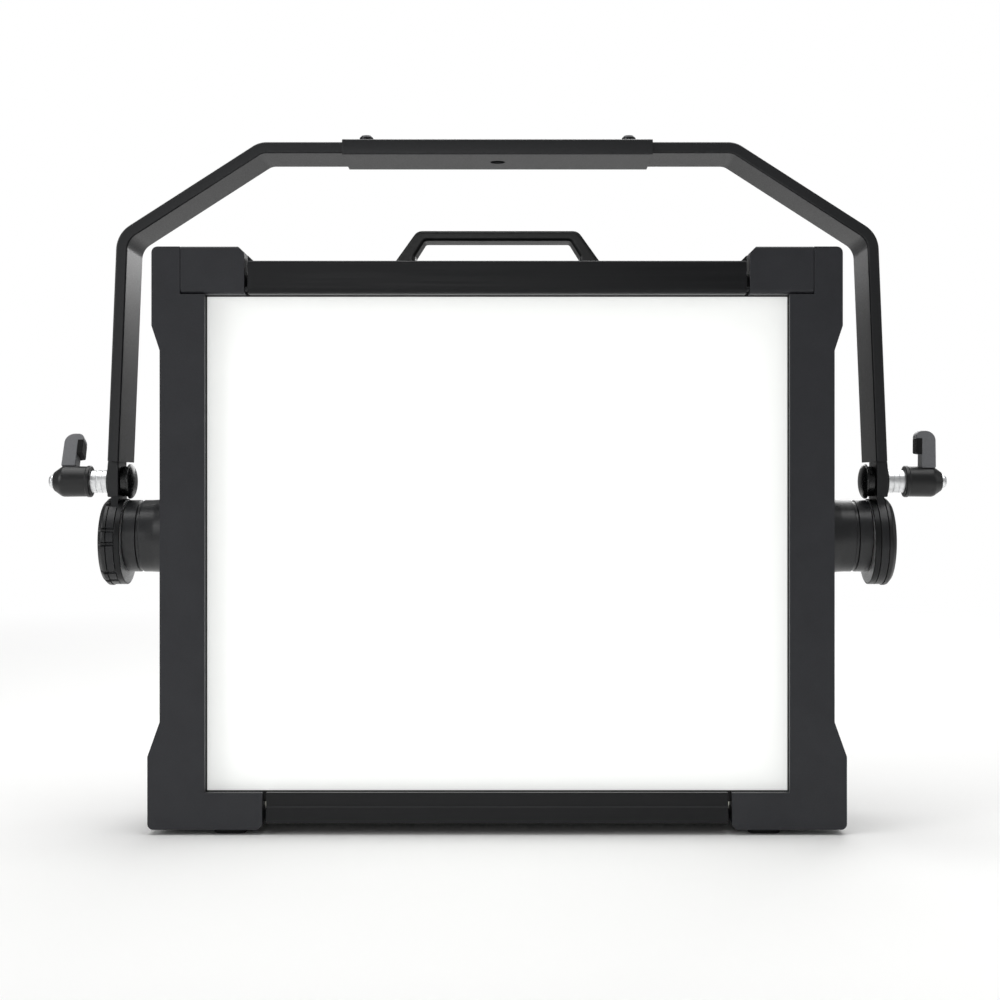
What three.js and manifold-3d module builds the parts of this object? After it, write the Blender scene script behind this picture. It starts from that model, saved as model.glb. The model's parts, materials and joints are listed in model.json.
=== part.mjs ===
// LED panel light: a soft rectangular panel hung in a bent yoke, with disc-brake clamps for its tilt.
// Millimetres, +Z up. The light shines towards -Y. The origin is on the floor, under the middle of the light.

import * as THREE from 'three';
import { mergeVertices } from 'three/addons/utils/BufferGeometryUtils.js';
import Module from 'manifold-3d';

const wasm = await Module();
wasm.setup();

// ---------------------------------------------------------------- driving dimensions

const GAP = 0.3; // clearance between neighbouring pieces
const ROUND = 24; // facets round a full circle
const ROUND_WIDE = 36; // facets round the brake discs and hubs

const APERTURE = { half: 200, bottom: 28.7, top: 368.7 }; // 400 x 340 light opening
const FRAME = { front: -56, back: -30, lip: 5, bottom: 3.4, top: 402 };
const SLOT = { half: 217, back: -39.7, bottom: 20, top: 369.5 }; // accessory slot behind the front lip
const STILE = { half: 230.6, upperHalf: 236.2, lowerHalf: 239, cornerInner: 160.5 };
const HOUSING = { half: 226, bottom: 8.6, top: 384, front: -39.7, back: 38, wall: 2.5, corner: 8 };
const COVER = { front: 38.3, back: 41.3 };
const CONSOLE = { half: 190, bottom: 30, top: 130, front: 41.6, back: 46.6 };
const GATE = { axisY: -52.5, axisZ: 373.3, corner: 3.5, back: -44.5, lidBottom: 384.6, railTop: 392.4 };
const GATE_RAIL_HALF = 170.6;
const GATE_BLOCK = { inner: 172.8, outer: 216.4 };
const GATE_ROD = 1.6;

const PIVOT_Z = 199; // height of the tilt axis
const PIVOT_BOLT = 6;
const BOSS = {
  inner: 226.3, outer: 264.1, radius: 25.6, foot: 29.6, rise: 4, groove: 253.5, grooveDepth: 1.2,
};
const DISC = { inner: 264.4, outer: 268.4, radius: 30.6 };
const HUB = { inner: 268.7, outer: 274, radius: 30.6 };
const CAP = { inner: 274.3, outer: 280, radius: 31.2 };

const BAR = { width: 50, thickness: 8, start: 9 }; // yoke bar section, and where it stops short of the middle
const NECK = { half: 13, outer: 276.7, start: 31.8, blend: 17, reach: 15 }; // thick plate between hub and bar
const SLEEVE = { half: 108.8, depth: 56, bottom: 271.5, top: 282.5, wallSide: 2.6, wallTop: 1.2 };
const SLEEVE_SCREW = { x: 93.9, shank: 2.9, head: 5, height: 7.8 };
const CLAMP_RISE = 42.9; // height of the clamp's axis above the tilt axis
const STUD = 5;

// ---------------------------------------------------------------- finishes

const FINISH = {
  moulding: [0x35363a, 0.62, 0],
  rail: [0x1c1d1f, 0.42, 0.2],
  housing: [0x232427, 0.5, 0.2],
  yoke: [0x26272a, 0.4, 0.3],
  diffuser: [0xf8f8f6, 0.5, 0],
  white: [0xf2f2ee, 0.8, 0],
  rubber: [0x18181a, 0.9, 0],
  plastic: [0x161618, 0.45, 0],
  silver: [0xc9cacc, 0.3, 1],
  aluminium: [0xa9abae, 0.4, 1],
  grey: [0x8b8d90, 0.5, 0.4],
  glass: [0x0d1418, 0.15, 0],
  board: [0x1f4a34, 0.6, 0],
};

// ---------------------------------------------------------------- geometry helpers

/** Points of a circular arc, angles in degrees. */
function arc(cx, cy, radius, from, to, steps = 4) {
  const points = [];
  for (let i = 0; i <= steps; i += 1) {
    const angle = THREE.MathUtils.degToRad(from + ((to - from) * i) / steps);
    points.push([cx + radius * Math.cos(angle), cy + radius * Math.sin(angle)]);
  }
  return points;
}

/** Points of a whole circle. */
function circle(cx, cy, radius, steps = ROUND) {
  return arc(cx, cy, radius, 0, 360, steps).slice(0, -1);
}

/** Rectangle from its sides. */
function rectangle(u0, u1, v0, v1) {
  return [[u0, v0], [u1, v0], [u1, v1], [u0, v1]];
}

/** Rectangle with round corners. */
function roundRectangle(u0, u1, v0, v1, radius, steps = 4) {
  return [
    ...arc(u0 + radius, v0 + radius, radius, 180, 270, steps),
    ...arc(u1 - radius, v0 + radius, radius, 270, 360, steps),
    ...arc(u1 - radius, v1 - radius, radius, 0, 90, steps),
    ...arc(u0 + radius, v1 - radius, radius, 90, 180, steps),
  ];
}

/** Outline with its first coordinate scaled by side, so that -1 mirrors it. */
function sided(points, side) {
  return points.map(([u, v]) => [u * side, v]);
}

/** Manifold solid from a closed three.js geometry. */
function solid(geometry) {
  geometry.deleteAttribute('normal');
  geometry.deleteAttribute('uv');
  const welded = mergeVertices(geometry, 1e-4);
  const xyz = welded.attributes.position.array;
  const corner = (i) => new THREE.Vector3().fromArray(xyz, 3 * i);
  const triangles = [];
  let volume = 0;
  for (let i = 0; i < welded.index.count; i += 3) {
    const [a, b, c] = welded.index.array.subarray(i, i + 3);
    if (a !== b && b !== c && c !== a) {
      triangles.push([a, b, c]);
      volume += corner(a).dot(corner(b).cross(corner(c)));
    }
  }
  const facing = volume < 0 ? triangles.map(([a, b, c]) => [a, c, b]) : triangles;
  return new wasm.Manifold(new wasm.Mesh({
    numProp: 3,
    vertProperties: new Float32Array(xyz),
    triVerts: new Uint32Array(facing.flat()),
  }));
}

const X = new THREE.Vector3(1, 0, 0);
const Y = new THREE.Vector3(0, 1, 0);
const Z = new THREE.Vector3(0, 0, 1);
const LAID = {
  x: new THREE.Matrix4().makeBasis(Y, Z, X), // outline in (y, z)
  y: new THREE.Matrix4().makeBasis(X, Z, Y.clone().negate()), // outline in (x, z)
  z: new THREE.Matrix4(), // outline in (x, y)
};

/** Outline pushed along an axis, with holes through it. */
function prism(axis, points, from, to, holes = []) {
  const shape = new THREE.Shape(points.map((p) => new THREE.Vector2(...p)));
  shape.holes = holes.map((hole) => new THREE.Path(hole.map((p) => new THREE.Vector2(...p))));
  const geometry = new THREE.ExtrudeGeometry(shape, { depth: to - from, bevelEnabled: false });
  geometry.applyMatrix4(LAID[axis]);
  const start = axis === 'y' ? to : from;
  geometry.translate(axis === 'x' ? start : 0, axis === 'y' ? start : 0, axis === 'z' ? start : 0);
  return solid(geometry);
}

/** Box from its six sides. */
function box(x0, x1, y0, y1, z0, z1) {
  const geometry = new THREE.BoxGeometry(x1 - x0, y1 - y0, z1 - z0);
  geometry.translate((x0 + x1) / 2, (y0 + y1) / 2, (z0 + z1) / 2);
  return solid(geometry);
}

/** Turned piece on the X axis, from [x, radius] points. */
function turned(profile, steps = ROUND) {
  const closed = profile[0][1] === 0 ? profile : [...profile, profile[0]];
  const geometry = new THREE.LatheGeometry(closed.map(([x, r]) => new THREE.Vector2(r, x)), steps);
  geometry.rotateZ(-Math.PI / 2);
  return solid(geometry);
}

/** Round bar along an axis through (u, v), for holes and shanks. */
function bar(axis, u, v, radius, from, to, steps = ROUND) {
  return prism(axis, circle(u, v, radius, steps), from, to);
}

function union(solids) {
  return solids.reduce((whole, piece) => whole.add(piece));
}

function cut(body, tools) {
  return tools.reduce((rest, tool) => rest.subtract(tool), body);
}

/** Named mesh with flat faces, added to a group at a position. */
function place(group, name, body, finish, position = [0, 0, 0]) {
  const { vertProperties, triVerts } = body.getMesh();
  const indexed = new THREE.BufferGeometry();
  indexed.setAttribute('position', new THREE.BufferAttribute(new Float32Array(vertProperties), 3));
  indexed.setIndex(new THREE.BufferAttribute(new Uint32Array(triVerts), 1));
  const geometry = indexed.toNonIndexed();
  geometry.computeVertexNormals();
  const [color, roughness, metalness] = FINISH[finish];
  const mesh = new THREE.Mesh(geometry, new THREE.MeshStandardMaterial({ color, roughness, metalness }));
  mesh.name = name;
  mesh.position.set(...position);
  group.add(mesh);
}

const SIDES = [['left', -1], ['right', 1]];
const light = new THREE.Group();

// ---------------------------------------------------------------- front frame

/** C-shaped moulding: stile, upper and lower corner, with the slot and the housing let into its back. */
function sideMoulding(side) {
  const cornerRadius = 4;
  const chamfer = 3;
  const face = [
    [STILE.cornerInner + chamfer, FRAME.bottom],
    ...arc(STILE.lowerHalf - cornerRadius, FRAME.bottom + cornerRadius, cornerRadius, 270, 360),
    [STILE.lowerHalf, 53.3],
    [STILE.half, 77],
    [STILE.half, 331],
    [STILE.upperHalf, 348],
    ...arc(STILE.upperHalf - cornerRadius, FRAME.top - cornerRadius, cornerRadius, 0, 90),
    [GATE_BLOCK.outer + GAP, FRAME.top],
    [GATE_BLOCK.outer + GAP, SLOT.top],
    [APERTURE.half, SLOT.top],
    [APERTURE.half, APERTURE.bottom],
    [STILE.cornerInner, APERTURE.bottom],
    [STILE.cornerInner, FRAME.bottom + chamfer],
  ];
  const clear = 0.6;
  return cut(prism('y', sided(face, side), FRAME.front, FRAME.back), [
    box(-SLOT.half, SLOT.half, FRAME.front + FRAME.lip, SLOT.back + 1, SLOT.bottom, FRAME.top + 1),
    box(-HOUSING.half - clear, HOUSING.half + clear, SLOT.back, 0, HOUSING.bottom - GAP, HOUSING.top + clear),
    bar('x', GATE.axisY, GATE.axisZ, GATE_ROD + GAP, side < 0 ? -229 : 216, side < 0 ? -216 : 229, 12),
  ]);
}

for (const [name, side] of SIDES) {
  place(light, `${name}_side_moulding`, sideMoulding(side), 'moulding');
}

const railSection = [
  [FRAME.front, 7.5],
  [FRAME.front, 18.6],
  [FRAME.front + 1, 19.4],
  [FRAME.front + 1, APERTURE.bottom],
  [FRAME.front + FRAME.lip, APERTURE.bottom],
  [FRAME.front + FRAME.lip, SLOT.bottom],
  [-40, SLOT.bottom],
  [-40, 7.5],
];
const BOTTOM_RAIL_HALF = 158;
place(light, 'bottom_rail', prism('x', railSection, -BOTTOM_RAIL_HALF, BOTTOM_RAIL_HALF), 'rail');

const DIFFUSER = { half: 214, front: -43, back: -40, bottom: 20.4, top: 383 };
place(light, 'diffuser', box(
  -DIFFUSER.half, DIFFUSER.half, DIFFUSER.front, DIFFUSER.back, DIFFUSER.bottom, DIFFUSER.top), 'diffuser');

const FOOT = { x: 183.5, halfX: 11, halfY: 9, corner: 4 };
const FEET = [
  ['foot_front_left', -FOOT.x, -42, FRAME.bottom - GAP],
  ['foot_front_right', FOOT.x, -42, FRAME.bottom - GAP],
  ['foot_rear_left', -FOOT.x, 24, HOUSING.bottom - GAP],
  ['foot_rear_right', FOOT.x, 24, HOUSING.bottom - GAP],
];
for (const [name, x, y, height] of FEET) {
  const pad = roundRectangle(-FOOT.halfX, FOOT.halfX, -FOOT.halfY, FOOT.halfY, FOOT.corner);
  place(light, name, prism('z', pad, 0, height), 'rubber', [x, y, 0]);
}

// ---------------------------------------------------------------- top gate over the accessory slot

/** Gate section in (y, z), round at the hinge corner and hooked back over the housing. */
function gateSection(top) {
  const edge = 1;
  return [
    ...arc(GATE.axisY, GATE.axisZ, GATE.corner, 180, 270),
    [GATE.back, GATE.axisZ - GATE.corner],
    [GATE.back, GATE.lidBottom],
    [FRAME.back, GATE.lidBottom],
    [FRAME.back, top],
    [FRAME.front + edge, top],
    [FRAME.front, top - edge],
  ];
}

const rodHole = circle(GATE.axisY, GATE.axisZ, GATE_ROD + GAP, 12);
const railHollow = rectangle(-53, -47.5, 377.5, 389.4);
const RAMP = 3.8; // the rail's top rises by this much at each end, to meet the blocks
const ramps = SIDES.map(([, side]) => prism('y', sided([
  [GATE_RAIL_HALF - RAMP, GATE.railTop - 0.1],
  [GATE_RAIL_HALF, GATE.railTop - 0.1],
  [GATE_RAIL_HALF, GATE.railTop + RAMP],
], side), FRAME.front + 1, FRAME.back));
const railBody = prism('x', gateSection(GATE.railTop), -GATE_RAIL_HALF, GATE_RAIL_HALF, [rodHole, railHollow]);
place(light, 'gate_rail', union([railBody, ...ramps]), 'rail');

/** End block of the gate, with its inner top corner cut at 45 degrees. */
function gateBlock(side) {
  const slope = 4.2;
  const ends = [GATE_BLOCK.inner * side, GATE_BLOCK.outer * side].sort((a, b) => a - b);
  const corner = [
    [GATE_BLOCK.inner - 1, FRAME.top - slope - 1],
    [GATE_BLOCK.inner + slope + 1, FRAME.top + 1],
    [GATE_BLOCK.inner - 1, FRAME.top + 1],
  ];
  const body = prism('x', gateSection(FRAME.top), ...ends, [rodHole]);
  return cut(body, [prism('y', sided(corner, side), FRAME.front - 1, FRAME.back + 1)]);
}

for (const [name, side] of SIDES) {
  place(light, `gate_${name}_block`, gateBlock(side), 'moulding');
}

const ROD_HALF = 228;
place(light, 'gate_hinge_rod', bar('x', GATE.axisY, GATE.axisZ, GATE_ROD, -ROD_HALF, ROD_HALF, 12), 'silver');

// ---------------------------------------------------------------- housing and rear cover

/** Cooling slots through a wall, as a row of boxes. */
function slotRow(count, pitch, makeSlot) {
  return Array.from({ length: count }, (_, i) => makeSlot(i * pitch));
}

const VENT = { front: 4, back: 30, width: 3.6, pitch: 12, reach: 10 };
const SIDE_VENTS = [{ start: 262, count: 7 }, { start: 66, count: 4 }];
const TOP_VENTS = { start: 110, count: 7 };
const housingOutline = roundRectangle(
  -HOUSING.half, HOUSING.half, HOUSING.bottom, HOUSING.top, HOUSING.corner);
const housingBore = roundRectangle(
  -HOUSING.half + HOUSING.wall,
  HOUSING.half - HOUSING.wall,
  HOUSING.bottom + HOUSING.wall,
  HOUSING.top - HOUSING.wall,
  HOUSING.corner - HOUSING.wall);
const housingShell = prism('y', housingOutline, HOUSING.front, HOUSING.back, [housingBore]);
const acrossHousing = HOUSING.half + VENT.reach;
const sideVents = SIDE_VENTS.flatMap((bank) => slotRow(bank.count, VENT.pitch, (d) => {
  const low = bank.start + d;
  return box(-acrossHousing, acrossHousing, VENT.front, VENT.back, low, low + VENT.width);
}));
const topVents = SIDES.flatMap(([, side]) => slotRow(TOP_VENTS.count, VENT.pitch, (d) => {
  const start = side * (TOP_VENTS.start + d) - VENT.width / 2;
  const low = HOUSING.top - VENT.reach;
  return box(start, start + VENT.width, VENT.front, VENT.back, low, HOUSING.top + VENT.reach);
}));
place(light, 'housing_body', cut(housingShell, [...sideVents, ...topVents]), 'housing');

const COVER_VENT = { rows: 11, pitch: 15, height: 6, start: 186, half: 58, spacing: 136 };
const coverVents = [-1, 0, 1].flatMap((bank) => slotRow(COVER_VENT.rows, COVER_VENT.pitch, (d) => {
  const middle = bank * COVER_VENT.spacing;
  const low = COVER_VENT.start + d;
  return box(middle - COVER_VENT.half, middle + COVER_VENT.half, 30, 50, low, low + COVER_VENT.height);
}));
place(light, 'rear_cover', cut(prism('y', housingOutline, COVER.front, COVER.back), coverVents), 'housing');

// ---------------------------------------------------------------- optics, cooling and electronics

const MIXER = { half: 214, bottom: 15, top: 380, corner: 6, wall: 2, front: -39.4, back: -9.1 };
const mixingWall = roundRectangle(-MIXER.half, MIXER.half, MIXER.bottom, MIXER.top, MIXER.corner);
const mixingSpace = roundRectangle(
  -MIXER.half + MIXER.wall,
  MIXER.half - MIXER.wall,
  MIXER.bottom + MIXER.wall,
  MIXER.top - MIXER.wall,
  MIXER.corner - MIXER.wall);
place(light, 'reflector_box', prism('y', mixingWall, MIXER.front, MIXER.back, [mixingSpace]), 'white');

const BOARD = { half: 210, front: -8, back: -6.4, bottom: 20, top: 376 };
const LED = { columns: 6, rows: 5, half: 3, pitch: 66, front: -8.8, middle: 198.7 };
const emitters = [];
for (let column = 0; column < LED.columns; column += 1) {
  for (let row = 0; row < LED.rows; row += 1) {
    const x = (column - (LED.columns - 1) / 2) * LED.pitch;
    const z = LED.middle + (row - (LED.rows - 1) / 2) * LED.pitch;
    emitters.push(box(x - LED.half, x + LED.half, LED.front, BOARD.front + 0.1, z - LED.half, z + LED.half));
  }
}
const boardPlate = box(-BOARD.half, BOARD.half, BOARD.front, BOARD.back, BOARD.bottom, BOARD.top);
place(light, 'led_board', union([boardPlate, ...emitters]), 'white');

const SINK = { half: 212, front: -6.1, back: -1, bottom: 18, top: 378 };
const FIN = { count: 16, pitch: 26, half: 1, back: 12.8, inset: 6 };
const fins = Array.from({ length: FIN.count }, (_, i) => {
  const x = (i - (FIN.count - 1) / 2) * FIN.pitch;
  const low = SINK.bottom + FIN.inset;
  return box(x - FIN.half, x + FIN.half, SINK.back - 0.1, FIN.back, low, SINK.top - FIN.inset);
});
const sinkPlate = box(-SINK.half, SINK.half, SINK.front, SINK.back, SINK.bottom, SINK.top);
place(light, 'heat_sink', union([sinkPlate, ...fins]), 'aluminium');

const FAN = { z: 250, half: 60, front: 13.2, back: 35.2, duct: 56, hub: 18, blade: 53 };
const fanBody = prism('y', roundRectangle(-FAN.half, FAN.half, FAN.z - FAN.half, FAN.z + FAN.half, 6),
  FAN.front, FAN.back, [circle(0, FAN.z, FAN.duct)]);
const strutBack = FAN.back - 2;
const fanSpider = union([
  bar('y', 0, FAN.z, FAN.hub, strutBack, FAN.back),
  box(-57, 57, strutBack, FAN.back, FAN.z - 3, FAN.z + 3),
  box(-3, 3, strutBack, FAN.back, FAN.z - 57, FAN.z + 57),
]);
place(light, 'fan_frame', union([fanBody, fanSpider]), 'plastic');

/** Fan rotor about the Y axis: a hub with seven pitched blades. */
function fanRotor() {
  const blades = Array.from({ length: 7 }, (_, i) => {
    const blade = new THREE.BoxGeometry(FAN.blade - FAN.hub + 2, 1.6, 20);
    blade.rotateX(THREE.MathUtils.degToRad(40));
    blade.translate((FAN.blade + FAN.hub - 2) / 2, 0, 0);
    blade.rotateY((i * 2 * Math.PI) / 7);
    return solid(blade);
  });
  return union([bar('y', 0, 0, FAN.hub, -8.5, 8.5), ...blades]);
}

const FAN_MIDDLE = 23.5;
place(light, 'fan_rotor', fanRotor(), 'plastic', [0, FAN_MIDDLE, FAN.z]);

const ELECTRONICS = { bottom: 32, top: 124 };
const SUPPLY = { x0: -200, x1: -20, front: 13.2, back: 35 };
const supplyCan = box(SUPPLY.x0, SUPPLY.x1, SUPPLY.front, SUPPLY.back, ELECTRONICS.bottom, ELECTRONICS.top);
place(light, 'power_supply', supplyCan, 'aluminium');

const DRIVER = { x0: 20, x1: 190, front: 13.4, back: 15.2 };
const DRIVER_PARTS = [
  { x0: 30, x1: 60, z0: 50, z1: 80, back: 33 },
  { x0: 75, x1: 110, z0: 45, z1: 100, back: 27 },
  { x0: 125, x1: 140, z0: 60, z1: 75, back: 31 },
  { x0: 150, x1: 180, z0: 50, z1: 110, back: 24 },
  { x0: 35, x1: 55, z0: 95, z1: 115, back: 25 },
];
const driverParts = DRIVER_PARTS.map((part) => box(
  part.x0, part.x1, DRIVER.back - 0.1, part.back, part.z0, part.z1));
const driverPlate = box(DRIVER.x0, DRIVER.x1, DRIVER.front, DRIVER.back, ELECTRONICS.bottom, ELECTRONICS.top);
place(light, 'driver_board', union([driverPlate, ...driverParts]), 'board');

// ---------------------------------------------------------------- control console on the back

const BUTTON = { radius: 4.5, height: 50, first: 4, pitch: 22, count: 4 };
const KNOBS = [['dimmer', -52, 88], ['colour', -94, 88]];
const ROCKER = { x: -150, z: 52, half: 6.6, halfZ: 10, axisY: 46 };
const WINDOW = { x0: -8, x1: 84, z0: 66, z1: 112 };
const SOCKETS = [
  ['power_inlet', -150, 98, 13.5],
  ['data_socket_in', 118, 82, 11.5],
  ['data_socket_out', 158, 82, 11.5],
];

const buttonPlaces = Array.from({ length: BUTTON.count }, (_, i) => BUTTON.first + i * BUTTON.pitch);
const consoleHoles = [
  ...buttonPlaces.map((x) => circle(x, BUTTON.height, BUTTON.radius + 0.4, 24)),
  ...KNOBS.map(([, x, z]) => circle(x, z, 3.4, 24)),
  rectangle(ROCKER.x - 7, ROCKER.x + 7, ROCKER.z - 11.2, ROCKER.z + 11.2),
];
const consolePlate = prism(
  'y', roundRectangle(-CONSOLE.half, CONSOLE.half, CONSOLE.bottom, CONSOLE.top, 8),
  CONSOLE.front, CONSOLE.back, consoleHoles);
const windowPocket = box(WINDOW.x0 - GAP, WINDOW.x1 + GAP, 45, 48, WINDOW.z0 - GAP, WINDOW.z1 + GAP);
place(light, 'control_panel', cut(consolePlate, [windowPocket]), 'plastic');
place(light, 'display_window', box(WINDOW.x0, WINDOW.x1, 45.3, 46.8, WINDOW.z0, WINDOW.z1), 'glass');

buttonPlaces.forEach((x, i) => {
  const button = bar('y', 0, 0, BUTTON.radius, 0, 5.6, 24);
  place(light, `push_button_${i + 1}`, button, 'rubber', [x, 42.8, BUTTON.height]);
});

const KNOB = { radius: 11, height: 8.4, shaft: 3, shaftEnd: 52.5, flutes: 12 };

/** Fluted control knob about the Y axis, hollow for its shaft. */
function controlKnob() {
  const rim = Array.from({ length: KNOB.flutes * 4 }, (_, i) => {
    const angle = (i * 2 * Math.PI) / (KNOB.flutes * 4);
    const radius = KNOB.radius - (i % 4 < 2 ? 0 : 0.7);
    return [radius * Math.cos(angle), radius * Math.sin(angle)];
  });
  return cut(prism('y', rim, 0, KNOB.height), [bar('y', 0, 0, KNOB.shaft + GAP, -1, 6.4, 16)]);
}

for (const [name, x, z] of KNOBS) {
  const shaft = bar('y', 0, 0, KNOB.shaft, 41.7, KNOB.shaftEnd, 16);
  place(light, `${name}_shaft`, shaft, 'silver', [x, 0, z]);
  place(light, `${name}_knob`, controlKnob(), 'plastic', [x, 47.6, z]);
}

const rockerSection = [
  [-2, -ROCKER.halfZ],
  [2.6, -ROCKER.halfZ],
  [1.6, 0],
  [3.4, ROCKER.halfZ],
  [-2, ROCKER.halfZ],
];
const rocker = prism('x', rockerSection, -ROCKER.half, ROCKER.half);
place(light, 'power_switch', rocker, 'plastic', [ROCKER.x, ROCKER.axisY, ROCKER.z]);

/** Panel socket on the console: a square flange and a round shell, open towards the back. */
function panelSocket(radius) {
  const flange = prism('y', roundRectangle(-radius - 2, radius + 2, -radius - 2, radius + 2, 3), 0, 1.6);
  const shell = bar('y', 0, 0, radius, 0, 8.8);
  return cut(union([flange, shell]), [bar('y', 0, 0, radius - 2, 1, 10)]);
}

for (const [name, x, z, radius] of SOCKETS) {
  place(light, name, panelSocket(radius), 'plastic', [x, CONSOLE.back + GAP, z]);
}

// ---------------------------------------------------------------- carrying handle

const HANDLE = { front: -14, back: 10, top: 419.5, underside: 412.3, bottom: HOUSING.top + GAP };
const handleHalf = [
  [0, HANDLE.top],
  ...arc(53, HANDLE.top - 7, 7, 90, 35),
  [73.8, 396],
  [74, HANDLE.bottom],
  [58.3, HANDLE.bottom],
  [58.3, 401.5],
  [51.4, HANDLE.underside],
  [0, HANDLE.underside],
];
const handleOutline = [...handleHalf, ...sided(handleHalf, -1).reverse().slice(1, -1)];
place(light, 'handle', prism('y', handleOutline, HANDLE.front, HANDLE.back), 'plastic');

// ---------------------------------------------------------------- pivots, on the panel

const pivotHeight = new THREE.Group();
pivotHeight.position.z = PIVOT_Z;
light.add(pivotHeight);

const bossProfile = [
  [BOSS.inner, 0],
  [BOSS.inner, BOSS.foot],
  [BOSS.inner + 5, BOSS.radius + 2.8],
  [BOSS.inner + 10, BOSS.radius + 1.4],
  [BOSS.inner + 16, BOSS.radius + 0.3],
  [BOSS.inner + 21, BOSS.radius],
  [BOSS.groove - 1.3, BOSS.radius],
  [BOSS.groove - 0.9, BOSS.radius - BOSS.grooveDepth],
  [BOSS.groove + 0.9, BOSS.radius - BOSS.grooveDepth],
  [BOSS.groove + 1.3, BOSS.radius],
  [BOSS.outer - 1, BOSS.radius],
  [BOSS.outer, BOSS.radius - 1],
  [BOSS.outer, 0],
];
const BOLT_START = 236;

const NOTCH = { pairs: 6, spread: 9.2, turn: 7, radius: 1.5, inside: 0.8 };

/** Pairs of round cuts in the rim of the hand knob; those that would meet the arm's neck may be left out. */
function knobNotches(from, clearOfNeck) {
  const notches = [];
  for (let i = 0; i < NOTCH.pairs; i += 1) {
    for (const offset of [-NOTCH.spread, NOTCH.spread]) {
      const angle = THREE.MathUtils.degToRad(180 + NOTCH.turn + (i * 360) / NOTCH.pairs + offset);
      const y = (CAP.radius - NOTCH.inside) * Math.cos(angle);
      const z = (CAP.radius - NOTCH.inside) * Math.sin(angle);
      const atNeck = z > 0 && Math.abs(y) < NECK.half + NOTCH.radius;
      if (!(clearOfNeck && atNeck)) {
        notches.push(bar('x', y, z, NOTCH.radius, from, CAP.outer + 1, 8));
      }
    }
  }
  return notches;
}

/** Round cap with an eased outer edge, bored for the pivot bolt up to boreEnd. */
function pivotCap(boreEnd) {
  const body = turned([
    [CAP.inner, 0],
    [CAP.inner, CAP.radius],
    [CAP.outer - 4, CAP.radius],
    [CAP.outer - 1.4, CAP.radius - 1.2],
    [CAP.outer, CAP.radius - 3.6],
    [CAP.outer, 0],
  ], ROUND_WIDE);
  return cut(body, [bar('x', 0, 0, PIVOT_BOLT + GAP, CAP.inner - 1, boreEnd)]);
}

for (const [name, side] of SIDES) {
  const sideGroup = new THREE.Group();
  sideGroup.rotation.z = side < 0 ? Math.PI : 0;
  pivotHeight.add(sideGroup);
  const boss = turned(bossProfile, ROUND_WIDE).translate([0, 0, BOSS.rise]);
  const boltBore = bar('x', 0, 0, PIVOT_BOLT + GAP, BOLT_START - GAP, BOSS.outer + 1);
  place(sideGroup, `${name}_pivot_boss`, cut(boss, [boltBore]), 'housing');
  const disc = turned([
    [DISC.inner, PIVOT_BOLT + GAP],
    [DISC.inner, DISC.radius - 0.4],
    [DISC.inner + 0.4, DISC.radius],
    [DISC.outer - 0.4, DISC.radius],
    [DISC.outer, DISC.radius - 0.4],
    [DISC.outer, PIVOT_BOLT + GAP],
  ], ROUND_WIDE);
  place(sideGroup, `${name}_brake_disc`, disc, 'silver');
  const bolt = bar('x', 0, 0, PIVOT_BOLT, BOLT_START, CAP.outer - 1.5);
  place(sideGroup, `${name}_pivot_bolt`, bolt, 'silver');
  if (name === 'left') {
    const knob = cut(pivotCap(CAP.outer + 1), knobNotches(CAP.inner - 1, false));
    place(sideGroup, 'left_friction_knob', knob, 'plastic');
  } else {
    place(sideGroup, 'right_hub_cap', pivotCap(CAP.outer - 1), 'plastic');
  }
}

// ---------------------------------------------------------------- yoke

/** Flat bar bent in the (x, z) plane: straight stretches with round bends, of even thickness. */
function bentBar(corners, radii, thickness) {
  const line = [new THREE.Vector2(...corners[0])];
  const way = [];
  for (let i = 1; i < corners.length - 1; i += 1) {
    const at = new THREE.Vector2(...corners[i]);
    const back = new THREE.Vector2(...corners[i - 1]).sub(at).normalize();
    const ahead = new THREE.Vector2(...corners[i + 1]).sub(at).normalize();
    const half = Math.acos(back.dot(ahead)) / 2;
    const reach = radii[i - 1] / Math.tan(half);
    const middle = back.clone().add(ahead).normalize().multiplyScalar(radii[i - 1] / Math.sin(half)).add(at);
    const start = at.clone().addScaledVector(back, reach).sub(middle).angle();
    const end = at.clone().addScaledVector(ahead, reach).sub(middle).angle();
    const steps = 6;
    for (let k = 0; k <= steps; k += 1) {
      const angle = start + ((end - start) * k) / steps;
      line.push(new THREE.Vector2(Math.cos(angle), Math.sin(angle)).multiplyScalar(radii[i - 1]).add(middle));
    }
  }
  line.push(new THREE.Vector2(...corners[corners.length - 1]));
  for (let i = 0; i < line.length; i += 1) {
    const before = line[Math.max(i - 1, 0)];
    const after = line[Math.min(i + 1, line.length - 1)];
    const along = after.clone().sub(before).normalize();
    way.push(new THREE.Vector2(-along.y, along.x).multiplyScalar(thickness / 2));
  }
  const outer = line.map((p, i) => p.clone().add(way[i]).toArray());
  const inner = line.map((p, i) => p.clone().sub(way[i]).toArray());
  return [...outer, ...inner.reverse()];
}

const BEND = {
  topX: 166.1, top: 277, shoulderX: 263.4, shoulder: 214.4, footX: 269.8, foot: 57, radii: [14, 16.5],
};
const WASHER = { radius: 11.2, outer: 278.2 };

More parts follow.
